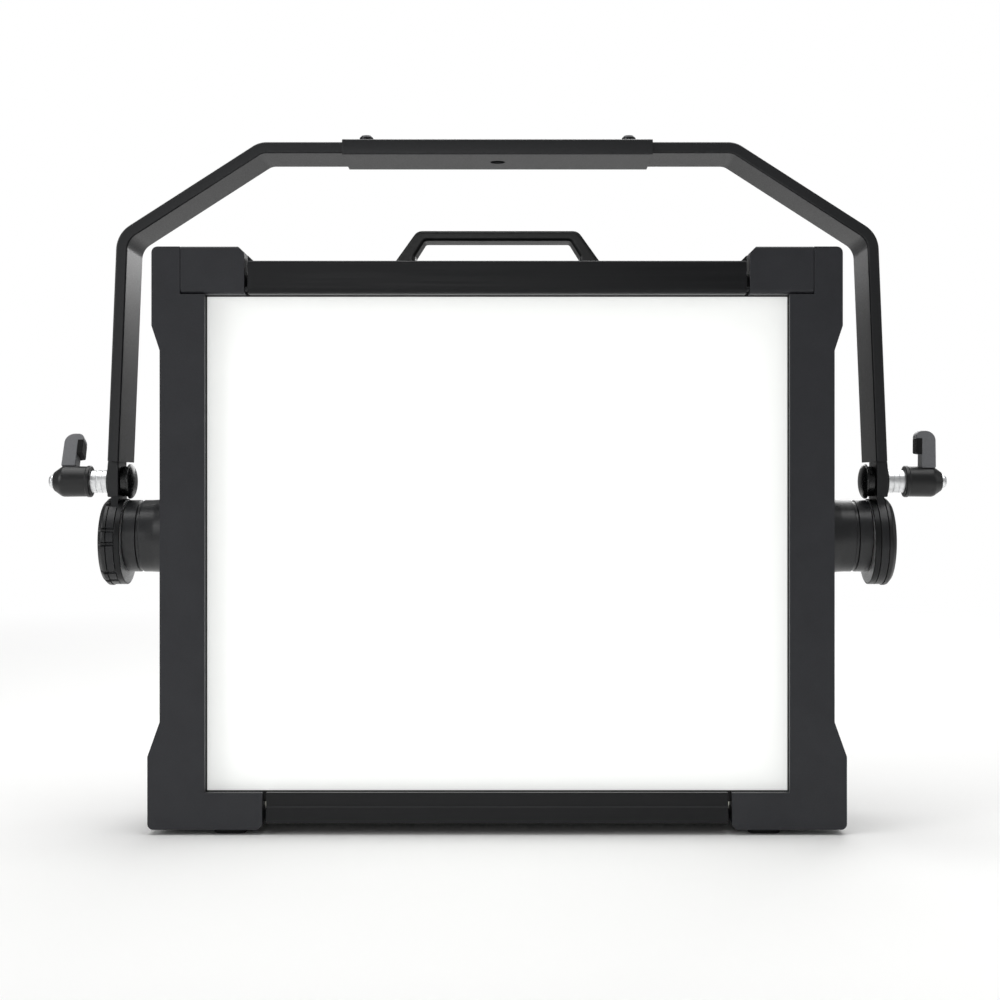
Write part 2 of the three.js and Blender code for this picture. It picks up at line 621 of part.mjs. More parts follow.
/** Yoke arm: bent bar above, narrow neck and round hub below, bored for bolt, stud and screw. */
function yokeArm(name) {
  const outline = bentBar([
    [BAR.start, BEND.top],
    [BEND.topX, BEND.top],
    [BEND.shoulderX, BEND.shoulder],
    [BEND.footX, BEND.foot],
  ], BEND.radii, BAR.thickness);
  const bent = prism('y', outline, -BAR.width / 2, BAR.width / 2);
  const neck = prism('y', [
    [HUB.inner, NECK.start],
    [NECK.outer, NECK.start],
    [NECK.outer, BEND.foot + NECK.reach - NECK.blend],
    [BEND.footX + BAR.thickness / 2 - 0.7, BEND.foot + NECK.reach],
    [HUB.inner, BEND.foot + NECK.reach],
  ], -NECK.half, NECK.half);
  const hub = bar('x', 0, 0, HUB.radius, HUB.inner, HUB.outer, ROUND_WIDE);
  const hubNeck = box(HUB.inner, HUB.outer, -NECK.half, NECK.half, 0, NECK.start + 1);
  const washer = bar('x', 0, CLAMP_RISE, WASHER.radius, NECK.outer - 1, WASHER.outer);
  const grip = name === 'left' ? knobNotches(HUB.inner - 1, true) : [];
  return cut(union([bent, neck, hubNeck, hub, washer]), [
    bar('x', 0, 0, PIVOT_BOLT + GAP, HUB.inner - 1, HUB.outer + 1),
    bar('x', 0, CLAMP_RISE, STUD + GAP, HUB.inner - 1, WASHER.outer + 1),
    bar('z', SLEEVE_SCREW.x, 0, SLEEVE_SCREW.shank + GAP, BEND.top - 10, BEND.top + 10, 16),
    ...grip,
  ]);
}

const yoke = new THREE.Group();
yoke.position.z = PIVOT_Z;
light.add(yoke);

const SEAT = { halfX: 25, halfY: 20, rise: 0.6, hole: 5.3 };
const sleeveOuter = roundRectangle(-SLEEVE.depth / 2, SLEEVE.depth / 2, SLEEVE.bottom, SLEEVE.top, 1.6, 2);
const sleeveInner = rectangle(
  -SLEEVE.depth / 2 + SLEEVE.wallSide,
  SLEEVE.depth / 2 - SLEEVE.wallSide,
  SLEEVE.bottom + SLEEVE.wallTop - 0.1,
  SLEEVE.top - SLEEVE.wallTop);
const sleeveTube = prism('x', sleeveOuter, -SLEEVE.half, SLEEVE.half, [sleeveInner]);
const clampSeat = box(-SEAT.halfX, SEAT.halfX, -SEAT.halfY, SEAT.halfY, SLEEVE.top - 1, SLEEVE.top + SEAT.rise);
const screwHoles = SIDES.map(([, side]) => bar(
  'z', side * SLEEVE_SCREW.x, 0, SLEEVE_SCREW.shank + GAP, SLEEVE.top - 4, SLEEVE.top + 1, 16));
const yokeSleeve = cut(union([sleeveTube, clampSeat]), [
  ...screwHoles,
  bar('z', 0, 0, SEAT.hole, SLEEVE.bottom - 1, SLEEVE.top + 2, 24),
]);
place(yoke, 'yoke_sleeve', yokeSleeve, 'yoke');

/** Cap screw standing on the sleeve, its shank in the bar below. */
function sleeveScrew() {
  const shank = bar('z', 0, 0, SLEEVE_SCREW.shank, SLEEVE.top - 8, SLEEVE.top + 1, 16);
  const head = bar('z', 0, 0, SLEEVE_SCREW.head, SLEEVE.top + GAP, SLEEVE.top + SLEEVE_SCREW.height, 24);
  return union([shank, head]);
}

const PAD = { inner: 258.5, rim: 263.6, radius: 12.4, collar: 10.8, collarEnd: HUB.inner - GAP, studEnd: 296 };
const padProfile = [
  [PAD.inner, 0],
  [PAD.inner + 0.3, 4],
  [PAD.inner + 1.1, 7.5],
  [PAD.inner + 2.5, 10.4],
  [PAD.rim - 1.3, PAD.radius - 0.4],
  [PAD.rim, PAD.radius],
  [PAD.rim, PAD.collar],
  [PAD.collarEnd, PAD.collar],
  [PAD.collarEnd, STUD],
  [PAD.studEnd, STUD],
  [PAD.studEnd, 0],
];

const INSERT = { inner: WASHER.outer + GAP, step: 290.2, outer: 299.4, radius: 8, neck: 7.2, floor: 296.6 };
const SCREW = { shank: 2.6, start: 296.9, headStart: 307, head: 4.8, outer: 320.8 };
const insertProfile = [
  [INSERT.inner, STUD + GAP],
  [INSERT.inner, INSERT.radius],
  [INSERT.step, INSERT.radius],
  [INSERT.step, INSERT.neck],
  [INSERT.outer, INSERT.neck],
  [INSERT.outer, SCREW.shank + GAP],
  [INSERT.floor, SCREW.shank + GAP],
  [INSERT.floor, STUD + GAP],
];
const endScrewProfile = [
  [SCREW.start, 0],
  [SCREW.start, SCREW.shank],
  [SCREW.headStart, SCREW.shank],
  [SCREW.headStart, SCREW.head],
  [SCREW.outer - 0.8, SCREW.head],
  [SCREW.outer, SCREW.head - 0.7],
  [SCREW.outer, 0],
];

const LEVER = { inner: 290.6, outer: 317.7, radius: 11.3, straightEnd: 311, pocket: 303, seat: 299.8 };
const leverHubProfile = [
  [LEVER.inner, INSERT.neck + GAP],
  [LEVER.inner, LEVER.radius - 0.7],
  [LEVER.inner + 0.8, LEVER.radius],
  [LEVER.straightEnd, LEVER.radius],
  [LEVER.straightEnd + 4, LEVER.radius - 1.1],
  [LEVER.outer - 0.7, LEVER.radius - 3.1],
  [LEVER.outer, LEVER.radius - 4.9],
  [LEVER.outer, SCREW.head + GAP],
  [LEVER.pocket, SCREW.head + GAP],
  [LEVER.pocket, SCREW.shank + 0.4],
  [LEVER.seat, SCREW.shank + 0.4],
  [LEVER.seat, INSERT.neck + GAP],
];

const BLADE = {
  half: 6.5, inner: 302, foot: 4, hookX: 305.4, hookZ: 29.1, hookRadius: 7.1, lip: 19.5, leftRest: 25,
};
const bladeOutline = [
  [BLADE.inner, BLADE.foot],
  [BLADE.hookX + BLADE.hookRadius, BLADE.foot],
  ...arc(BLADE.hookX, BLADE.hookZ, BLADE.hookRadius, 0, 180, 8),
  [BLADE.hookX - BLADE.hookRadius, BLADE.lip],
  [BLADE.inner, BLADE.lip],
];

for (const [name, side] of SIDES) {
  const arm = new THREE.Group();
  arm.rotation.z = side < 0 ? Math.PI : 0;
  yoke.add(arm);
  place(arm, `${name}_yoke_arm`, yokeArm(name), 'yoke');
  place(arm, `${name}_sleeve_screw`, sleeveScrew(), 'silver', [SLEEVE_SCREW.x, 0, 0]);
  const clamp = new THREE.Group();
  clamp.position.z = CLAMP_RISE;
  arm.add(clamp);
  place(clamp, `${name}_clamp_stud`, turned(padProfile), 'plastic');
  place(clamp, `${name}_lever_insert`, turned(insertProfile), 'silver');
  place(clamp, `${name}_lever_end_screw`, turned(endScrewProfile, 24), 'silver');
  place(clamp, `${name}_lever_hub`, turned(leverHubProfile), 'plastic');
  const blade = cut(prism('y', bladeOutline, -BLADE.half, BLADE.half), [
    bar('x', 0, 0, LEVER.radius + GAP, LEVER.inner, SCREW.outer, ROUND_WIDE),
  ]);
  place(clamp, `${name}_lever_blade`, blade.rotate([side < 0 ? BLADE.leftRest : 0, 0, 0]), 'grey');
}

export default light;
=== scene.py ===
"""LED panel light in a bent yoke: finished surfaces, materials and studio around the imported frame.

Shapes are worked out in millimetres, in the frame's own directions (X right, Y to the back, Z up), and
turned to metres when they become meshes. Places come from the boxes of the frame's nodes.
"""

import json
import logging
import math
from dataclasses import dataclass, field
from enum import Enum
from typing import Any, Callable, Optional, Sequence, Union

import bmesh
import bpy
import numpy as np
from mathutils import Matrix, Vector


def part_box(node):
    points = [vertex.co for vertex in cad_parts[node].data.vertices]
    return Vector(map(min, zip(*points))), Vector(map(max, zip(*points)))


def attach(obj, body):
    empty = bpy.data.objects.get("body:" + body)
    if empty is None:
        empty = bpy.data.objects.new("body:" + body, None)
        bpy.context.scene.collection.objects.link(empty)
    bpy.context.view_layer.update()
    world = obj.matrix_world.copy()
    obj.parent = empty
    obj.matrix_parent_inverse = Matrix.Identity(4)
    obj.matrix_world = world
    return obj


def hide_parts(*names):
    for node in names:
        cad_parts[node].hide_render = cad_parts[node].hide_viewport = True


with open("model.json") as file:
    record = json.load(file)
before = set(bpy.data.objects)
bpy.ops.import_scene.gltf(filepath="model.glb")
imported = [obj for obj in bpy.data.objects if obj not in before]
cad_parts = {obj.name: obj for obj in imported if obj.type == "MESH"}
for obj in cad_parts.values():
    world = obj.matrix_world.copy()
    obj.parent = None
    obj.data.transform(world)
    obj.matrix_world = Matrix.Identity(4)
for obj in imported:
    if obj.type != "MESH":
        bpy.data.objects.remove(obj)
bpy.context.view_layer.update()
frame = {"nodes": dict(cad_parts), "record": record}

Array = np.ndarray
Thing = bpy.types.Object
Corners = Sequence[Sequence[float]]

MM = 0.001
LOG = logging.getLogger("panel_light")
BODY_OF = {node: body for body, nodes in frame["record"]["behaviour"]["bodies"].items() for node in nodes}


# ---------------------------------------------------------------- places and directions


class Side(Enum):
    """The two ends of the tilt axis, as the sign of X."""

    LEFT = -1
    RIGHT = 1

    @property
    def word(self) -> str:
        """The side's name as the nodes have it."""
        return self.name.lower()


class Axis(Enum):
    """Direction that an outline is pushed along; the value says where u, v and the push go in (x, y, z)."""

    X = (1, 2, 0)
    Y = (0, 2, 1)
    Z = (0, 1, 2)

    def place(self, flat: Array, along: Union[Array, float]) -> Array:
        """Puts outline points into space.

        Args:
            flat: Points (..., 2) of the outline.
            along: Distance of each point along the axis.

        Returns:
            Points (..., 3).
        """
        spot = np.empty(flat.shape[:-1] + (3,))
        spot[..., self.value[0]] = flat[..., 0]
        spot[..., self.value[1]] = flat[..., 1]
        spot[..., self.value[2]] = along
        return spot


@dataclass(frozen=True)
class Extent:
    """Box round one or more frame nodes, in millimetres."""

    low: Array
    high: Array

    @classmethod
    def of(cls, *nodes: str) -> "Extent":
        """Measures the nodes in the frame."""
        corners = np.array([[*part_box(node)[0], *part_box(node)[1]] for node in nodes]) / MM
        return cls(corners[:, :3].min(axis=0), corners[:, 3:].max(axis=0))

    @property
    def middle(self) -> Array:
        """Centre of the box."""
        return (self.low + self.high) / 2

    @property
    def size(self) -> Array:
        """Length of the box each way."""
        return self.high - self.low

    def outer(self, side: Side) -> float:
        """Distance of the box's outer face from the middle of the light."""
        return max(side.value * self.low[0], side.value * self.high[0])

    def inner(self, side: Side) -> float:
        """Distance of the box's inner face from the middle of the light."""
        return min(side.value * self.low[0], side.value * self.high[0])


# ---------------------------------------------------------------- outlines


def rectangle(u0: float, u1: float, v0: float, v1: float) -> Array:
    """Corners of a rectangle, anticlockwise."""
    return np.array([[u0, v0], [u1, v0], [u1, v1], [u0, v1]])


def rounded(
        corners: Corners, radius: Union[float, Sequence[float]], steps: int = 6,
        closed: bool = True) -> Array:
    """Rounds the corners of an outline.

    At a corner where the run turns by w, the round starts r tan(|w| / 2) before the corner, its centre lies
    r to the side of the turn, and its points are the start swung about that centre by w k / steps.

    Args:
        corners: Points (n, 2).
        radius: One radius, or one for each corner; 0 keeps a corner sharp.
        steps: Stretches that each round is made of.
        closed: Whether the last corner joins the first; if not, both stay where they are.

    Returns:
        Points (m, 2), with no two neighbours alike.
    """
    at = np.asarray(corners, float)
    radii = np.array(np.broadcast_to(radius, len(at)), float)
    if not closed:
        radii[[0, -1]] = 0
    arrive = at - np.roll(at, 1, axis=0)
    arrive /= np.linalg.norm(arrive, axis=1, keepdims=True)
    leave = np.roll(arrive, -1, axis=0)
    turn = np.arctan2(arrive[:, 0] * leave[:, 1] - arrive[:, 1] * leave[:, 0], (arrive * leave).sum(axis=1))
    start = at - (radii * np.tan(np.abs(turn) / 2))[:, None] * arrive
    across = np.stack([-arrive[:, 1], arrive[:, 0]], axis=1) * np.sign(turn)[:, None]
    centre = start + radii[:, None] * across
    spoke = (start - centre)[:, None, :]
    swing = turn[:, None] * np.linspace(0, 1, steps + 1)
    swung = np.stack([
        spoke[..., 0] * np.cos(swing) - spoke[..., 1] * np.sin(swing),
        spoke[..., 0] * np.sin(swing) + spoke[..., 1] * np.cos(swing),
    ], axis=-1)
    points = (centre[:, None, :] + swung).reshape(-1, 2)
    before = np.roll(points, 1, axis=0) if closed else np.vstack([points[:1] + 1, points[:-1]])
    return points[np.linalg.norm(points - before, axis=1) > 1e-4]


def anticlockwise(outline: Array) -> Array:
    """The outline, turned round if it encloses its area clockwise."""
    ahead = np.roll(outline, -1, axis=0)
    area = (outline[:, 0] * ahead[:, 1] - outline[:, 1] * ahead[:, 0]).sum()
    return outline if area > 0 else outline[::-1]


def inset(outline: Array, amount: float) -> Array:
    """Moves an anticlockwise outline inwards.

    Each point goes along its mitre (a + b) / (1 + a.b), where a and b are the inward normals of its two
    edges.
    """
    arrive = outline - np.roll(outline, 1, axis=0)
    arrive /= np.linalg.norm(arrive, axis=1, keepdims=True)
    normal = np.stack([-arrive[:, 1], arrive[:, 0]], axis=1)
    after = np.roll(normal, -1, axis=0)
    return outline + amount * (normal + after) / (1 + (normal * after).sum(axis=1, keepdims=True))


def circle(u: float, v: float, radius: float, steps: int = 32) -> Array:
    """Points of a circle, anticlockwise."""
    turn = np.linspace(0, 2 * np.pi, steps, endpoint=False)
    return np.stack([u + radius * np.cos(turn), v + radius * np.sin(turn)], axis=1)


# ---------------------------------------------------------------- skins


@dataclass
class Shell:
    """Closed skin: points in millimetres, four-sided faces, and flat end faces."""

    points: Array
    quads: Array
    caps: list[Array] = field(default_factory=list)

    def outward(self) -> "Shell":
        """Turns every face round if the enclosed volume, summed over triangles as a.(b x c), is negative."""
        fans = [np.stack([np.full(len(cap) - 2, cap[0]), cap[1:-1], cap[2:]], axis=-1) for cap in self.caps]
        corners = self.points[np.concatenate([self.quads[:, [0, 1, 2]], self.quads[:, [0, 2, 3]], *fans])]
        volume = np.einsum("ij,ij->", corners[:, 0], np.cross(corners[:, 1], corners[:, 2]))
        if volume < 0:
            return Shell(self.points, self.quads[:, ::-1], [cap[::-1] for cap in self.caps])
        return self

    def on(self, side: Side) -> "Shell":
        """The skin, drawn for the right side, put on the given one."""
        return Shell(self.points * (side.value, 1, 1), self.quads, self.caps).outward()

    def moved(self, *by: float) -> "Shell":
        """The skin, shifted by (x, y, z)."""
        return Shell(self.points + by, self.quads, self.caps)


def loft(rings: Array, closed: bool = False) -> Shell:
    """Joins a stack of rings into a skin.

    The surface is P(i, j), where i counts the rings and j goes round each one; a face joins P(i, j),
    P(i, j + 1), P(i + 1, j + 1) and P(i + 1, j).

    Args:
        rings: Points (rings, around, 3).
        closed: Whether the last ring joins the first; if not, a flat face closes each end.

    Returns:
        The skin, with its faces pointing out.
    """
    index = np.arange(rings.shape[0] * rings.shape[1]).reshape(rings.shape[:2])
    here = index if closed else index[:-1]
    ahead = np.roll(index, -1, axis=0) if closed else index[1:]
    quads = np.stack([here, np.roll(here, -1, axis=1), np.roll(ahead, -1, axis=1), ahead], axis=-1)
    caps = [] if closed else [index[0][::-1], index[-1]]
    return Shell(rings.reshape(-1, 3), quads.reshape(-1, 4), caps).outward()


def prism(outline: Array, axis: Axis, low: float, high: float, ease: float = 0.6, steps: int = 4) -> Shell:
    """Outline pushed along an axis, with its rims rounded.

    Ring t of a rim, for t from 0 to 90 degrees, lies e (1 - cos t) in from the end face, and its outline is
    inset by e (1 - sin t).

    Args:
        outline: Points (n, 2) in the axis's two other directions.
        axis: Direction of the push.
        low: Where the push starts.
        high: Where it ends.
        ease: Radius e of the rims.
        steps: Stretches that each rim is made of.

    Returns:
        The closed skin.
    """
    run = anticlockwise(outline)
    swing = np.linspace(0, np.pi / 2, steps + 1)
    depth = ease * (1 - np.cos(swing))
    narrow = ease * (1 - np.sin(swing))
    places = np.concatenate([low + depth, high - depth[::-1]])
    amounts = np.concatenate([narrow, narrow[::-1]])
    unit = inset(run, 1.0) - run
    flat = run[None] + amounts[:, None, None] * unit[None]
    return loft(axis.place(flat, places[:, None]))


def lathe(
    profile: Array,
    centre: tuple[float, float] = (0.0, 0.0),
    axis: Axis = Axis.X,
    steps: int = 96,
    closed: bool = False,
    form: Optional[Callable[[Array, Array, Array], Array]] = None,
) -> Shell:
    """Profile turned about a line along an axis.

    P(i, j) = (a_i, r_i cos t_j, r_i sin t_j), with a_i along the axis and r_i from it. A form may change
    the radius as it goes round, for notches, flutes or a hexagon.

    Args:
        profile: Points (n, 2): distance along the axis, and radius.
        centre: The line's place in the axis's two other directions.
        axis: Direction of the line.
        steps: Points round each ring.
        closed: Whether the profile joins up, as round a bore.
        form: Function of (angle, along, radius) that gives the radius.

    Returns:
        The closed skin.
    """
    turn = np.linspace(0, 2 * np.pi, steps, endpoint=False)[None, :]
    along = profile[:, :1]
    radius = profile[:, 1:] + 0 * turn
    if form is not None:
        radius = form(turn + 0 * radius, along + 0 * radius, radius)
    flat = np.stack([centre[0] + radius * np.cos(turn), centre[1] + radius * np.sin(turn)], axis=-1)
    return loft(axis.place(flat, along), closed)


def swept(section: Array, path: Array) -> Shell:
    """Section carried along a path in the (x, z) plane.

    P(i, j) = path_i + s_j n_i + t_j Y, where n_i is the path's normal, taken between its neighbours, and
    (s_j, t_j) is a point of the section.

    Args:
        section: Points (n, 2): across the path in its plane, and along Y.
        path: Points (m, 2) in x and z.

    Returns:
        The closed skin.
    """
    along = np.gradient(path, axis=0)
    along /= np.linalg.norm(along, axis=1, keepdims=True)
    normal = np.stack([-along[:, 1], along[:, 0]], axis=1)
    flat = path[:, None, :] + section[None, :, :1] * normal[:, None, :]
    return loft(Axis.Y.place(flat, section[None, :, 1]))


HEX_FLAT = math.cos(math.pi / 6)


def hexed(turn: Array) -> Array:
    """Radius of a unit hexagon: the flat's distance over the cosine of the angle from its middle."""
    return HEX_FLAT / np.cos((turn + np.pi / 6) % (np.pi / 3) - np.pi / 6)


def key_screw(at: Sequence[float], axis: Axis, out: int, radius: float, height: float, key: float) -> Shell:
    """Low round head with a hexagon socket.

    A lathe skin whose last two rings are hexagons: the socket's mouth and its floor.

    Args:
        at: Middle of the head's seat (x, y, z).
        axis: Direction of the screw.
        out: Sign of the way that the head points.
        radius: Radius of the head.
        height: Height of the head.
        key: Radius of the socket's corners.

    Returns:
        The closed skin.
    """
    crown = min(0.45 * height, 0.3 * radius)
    head = rounded(
        [[0, radius], [height - crown, radius], [height, radius - crown]], 0.7 * crown, 5, closed=False)
    socket = np.array([[height, key + 0.25], [height - 0.15, key], [0.35 * height, key]])
    profile = np.vstack([head, socket])
    is_socket = (np.arange(len(profile)) >= len(head))[:, None]
    across, up, along = axis.value
    shell = lathe(
        profile * (out, 1) + (at[along], 0),
        (at[across], at[up]),
        axis,
        36,
        form=lambda turn, _, r: np.where(is_socket, r * hexed(turn), r),
    )
    return shell


# ---------------------------------------------------------------- pieces


def mesh_of(name: str, shells: Sequence[Shell]) -> bpy.types.Mesh:
    """Makes one mesh, in metres, from closed skins.

    Args:
        name: Name of the mesh.
        shells: Skins, each with its faces pointing out.

    Returns:
        The mesh, with doubled points merged.
    """
    starts = np.cumsum([0] + [len(shell.points) for shell in shells[:-1]])
    faces: list[list[int]] = []
    for shell, start in zip(shells, starts):
        faces += (shell.quads + start).tolist() + [(cap + start).tolist() for cap in shell.caps]
    mesh = bpy.data.meshes.new(name)
    mesh.from_pydata((np.concatenate([shell.points for shell in shells]) * MM).tolist(), [], faces)
    work = bmesh.new()
    work.from_mesh(mesh)
    bmesh.ops.remove_doubles(work, verts=work.verts, dist=2e-6)
    bmesh.ops.dissolve_degenerate(work, edges=work.edges, dist=1e-6)
    work.to_mesh(mesh)
    work.free()
    return mesh


def finish_piece(
        name: str, mesh: bpy.types.Mesh, finish: "Finish", like: str, stands: bool, crease: float) -> Thing:
    """Puts a mesh into the scene as a piece.

    Args:
        name: Name of the piece.
        mesh: Its mesh, in the frame's place.
        finish: Its material.
        like: Node whose body and material slot the piece takes.
        stands: Whether the piece is shown in that node's place.
        crease: Angle in degrees past which an edge is sharp.

    Returns:
        The piece.
    """
    mesh.materials.clear()
    mesh.materials.append(finish.material())
    mesh.polygons.foreach_set("use_smooth", np.ones(len(mesh.polygons), bool))
    mesh.set_sharp_from_angle(angle=math.radians(crease))
    thing = bpy.data.objects.new(name, mesh)
    bpy.context.scene.collection.objects.link(thing)
    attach(thing, BODY_OF[like])
    if stands:
        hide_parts(like)
    LOG.info("%s rides on %s", name, BODY_OF[like])
    return thing


def even_normals(thing: Thing) -> None:
    """Lets the large faces decide the shading, so that flat faces stay flat beside their rounded rims."""
    weigh = thing.modifiers.new("even_normals", "WEIGHTED_NORMAL")
    weigh.weight = 90
    weigh.keep_sharp = True


def piece(
    name: str, shells: Sequence[Shell], finish: "Finish", like: str, stands: bool = False, crease: float = 40
) -> Thing:
    """Makes a piece from closed skins; the arguments are those of mesh_of and finish_piece."""
    thing = finish_piece(name, mesh_of(name, shells), finish, like, stands, crease)
    even_normals(thing)
    return thing


def stand_in(node: str, shells: Sequence[Shell], finish: "Finish", crease: float = 40) -> Thing:
    """Makes the finished piece that is shown in a node's place."""
    return piece(f"{node}_finished", shells, finish, node, True, crease)


def eased_copy(node: str, ease: float, finish: "Finish", segments: int = 3) -> Thing:
    """Makes the finished piece of a node whose form is kept: its merged copy with rounded edges.

    Args:
        node: Node of the frame.
        ease: Radius of the edges, in millimetres.
        finish: Material of the piece.
        segments: Stretches that each rounded edge is made of.

    Returns:
        The piece, shown in the node's place.
    """
    mesh = frame["nodes"][node].data.copy()
    mesh.name = f"{node}_finished"
    work = bmesh.new()
    work.from_mesh(mesh)
    bmesh.ops.remove_doubles(work, verts=work.verts, dist=2e-6)
    bmesh.ops.dissolve_limit(work, angle_limit=math.radians(1), verts=work.verts, edges=work.edges)
    work.to_mesh(mesh)
    work.free()
    thing = finish_piece(f"{node}_finished", mesh, finish, node, True, 40)
    round_edges = thing.modifiers.new("rounded_edges", "BEVEL")
    round_edges.width = ease * MM
    round_edges.segments = segments
    round_edges.limit_method = "ANGLE"
    round_edges.angle_limit = math.radians(32)
    even_normals(thing)
    return thing


def dress(node: str, finish: "Finish") -> None:
    """Gives a node that keeps its own mesh its material."""
    materials = frame["nodes"][node].data.materials
    materials.clear()
    materials.append(finish.material())
    LOG.info("%s keeps its form", node)


# ---------------------------------------------------------------- finishes


def linear(colour: str) -> tuple[float, float, float, float]:
    """Turns an sRGB hex colour to linear red, green, blue and alpha."""
    levels = np.array([int(colour[i:i + 2], 16) for i in (1, 3, 5)]) / 255
    red, green, blue = np.where(levels <= 0.04045, levels / 12.92, ((levels + 0.055) / 1.055) ** 2.4).tolist()
    return red, green, blue, 1.0


def add(
        tree: bpy.types.NodeTree, kind: str, settings: dict[str, Any],
        links: dict[Any, Any]) -> bpy.types.Node:
    """Adds a node.

    Args:
        tree: Node tree that it goes into.
        kind: Type of the node.
        settings: Values of the node's own settings.
        links: For each input, by name or number, its value or the output that feeds it.

    Returns:
        The node.
    """
    node = tree.nodes.new(kind)
    for name, value in settings.items():
        setattr(node, name, value)
    for name, value in links.items():
        if isinstance(value, bpy.types.NodeSocket):
            tree.links.new(value, node.inputs[name])
        else:
            node.inputs[name].default_value = value
    return node


@dataclass(frozen=True)
class Finish:
    """What every finish has: a name, a colour and a gloss; a child class draws the pattern."""

    name: str
    colour: str
    roughness: float
    metallic: float = 0.0
    ior: float = 1.5
    coat: float = 0.0
    specular: float = 0.5

    def material(self) -> bpy.types.Material:
        """The material, made on first use."""
        made = bpy.data.materials.get(self.name)
        if made is not None:
            return made
        made = bpy.data.materials.new(self.name)
        made.use_nodes = True
        tree = made.node_tree
        shader = tree.nodes["Principled BSDF"]
        shader.inputs["Base Color"].default_value = linear(self.colour)
        shader.inputs["Roughness"].default_value = self.roughness
        shader.inputs["Metallic"].default_value = self.metallic
        shader.inputs["Coat Weight"].default_value = self.coat
        if not self.metallic:
            shader.inputs["IOR"].default_value = self.ior
        shader.inputs["Specular IOR Level"].default_value = self.specular
        self.draw(tree, shader)
        return made

    def draw(self, tree: bpy.types.NodeTree, shader: bpy.types.Node) -> None:
        """Adds the pattern; the plain finish has none."""

    def noise(self, tree: bpy.types.NodeTree, size: float, stretch: Sequence[float] = (1, 1, 1)) -> Any:
        """Noise on the object's own coordinates.

        Args:
            tree: Node tree that it goes into.
            size: Size of a grain, in millimetres.
            stretch: How often the pattern repeats along X, Y and Z; a small number draws it out.

        Returns:
            The output with the noise, about 0.5 on average.
        """
        spot = add(tree, "ShaderNodeTexCoord", {}, {}).outputs["Object"]
        laid = add(tree, "ShaderNodeMapping", {}, {"Vector": spot, "Scale": stretch}).outputs["Vector"]
        settings = {"Vector": laid, "Scale": 1 / (size * MM), "Detail": 3.0, "Roughness": 0.55}
        return add(tree, "ShaderNodeTexNoise", {}, settings).outputs[0]

    def spread(self, tree: bpy.types.NodeTree, source: Any, low: float, high: float) -> Any:
        """Carries noise between its usual ends, 0.3 and 0.7, over to the range from low to high."""
        limits = {"Value": source, "From Min": 0.3, "From Max": 0.7, "To Min": low, "To Max": high}
        return add(tree, "ShaderNodeMapRange", {}, limits).outputs[0]

    def tint(self, tree: bpy.types.NodeTree, shader: bpy.types.Node, share: Any, second: str) -> None:
        """Mixes the colour with a second one, by the given share."""
        colours = {0: share, 6: linear(self.colour), 7: linear(second)}
        mixed = add(tree, "ShaderNodeMix", {"data_type": "RGBA"}, colours).outputs[2]
        tree.links.new(mixed, shader.inputs["Base Color"])

    def emboss(self, tree: bpy.types.NodeTree, shader: bpy.types.Node, source: Any, depth: float) -> None:
        """Raises the surface by the source, to a depth in millimetres."""
        relief = add(tree, "ShaderNodeBump", {}, {"Height": source, "Distance": depth * MM, "Strength": 1.0})
        tree.links.new(relief.outputs[0], shader.inputs["Normal"])


@dataclass(frozen=True)
class MouldedTexture(Finish):
    """Moulded plastic or rubber with an etched grain, which breaks up its gloss."""

    grain: float = 1.0
    depth: float = 0.03
    second: str = "#3b3c40"
    patch: float = 26.0

    def draw(self, tree: bpy.types.NodeTree, shader: bpy.types.Node) -> None:
        """Draws the grain in relief and gloss, and slow patches in the colour."""
        grain = self.noise(tree, self.grain)
        self.emboss(tree, shader, grain, self.depth)
        gloss = self.spread(tree, grain, self.roughness + 0.08, self.roughness - 0.08)
        tree.links.new(gloss, shader.inputs["Roughness"])
        self.tint(tree, shader, self.spread(tree, self.noise(tree, self.patch), 0.0, 1.0), self.second)


@dataclass(frozen=True)
class PowderCoat(Finish):
    """Baked powder paint: a soft orange-peel surface with a fine sparkle in its gloss."""

    peel: float = 2.2
    depth: float = 0.035
    second: str = "#2b2c2f"
    speck: float = 0.9

    def draw(self, tree: bpy.types.NodeTree, shader: bpy.types.Node) -> None:
        """Draws the orange peel in relief, and the specks in colour and gloss."""
        self.emboss(tree, shader, self.noise(tree, self.peel), self.depth)
        speck = self.noise(tree, self.speck)
        self.tint(tree, shader, self.spread(tree, speck, 0.0, 1.0), self.second)
        gloss = self.spread(tree, speck, self.roughness + 0.06, self.roughness - 0.07)
        tree.links.new(gloss, shader.inputs["Roughness"])


@dataclass(frozen=True)
class DrawnMetal(Finish):
    """Extruded or drawn metal: fine lines that run along its length and draw the gloss out."""

    line: float = 1.2
    length: float = 90.0
    depth: float = 0.006
    second: str = "#26272a"

    def draw(self, tree: bpy.types.NodeTree, shader: bpy.types.Node) -> None:
        """Draws the die lines along X in relief, gloss and colour."""
        lines = self.noise(tree, self.line, (self.line / self.length, 1, 1))
        self.emboss(tree, shader, lines, self.depth)
        gloss = self.spread(tree, lines, self.roughness - 0.07, self.roughness + 0.09)
        tree.links.new(gloss, shader.inputs["Roughness"])
        self.tint(tree, shader, self.spread(tree, lines, 0.0, 1.0), self.second)


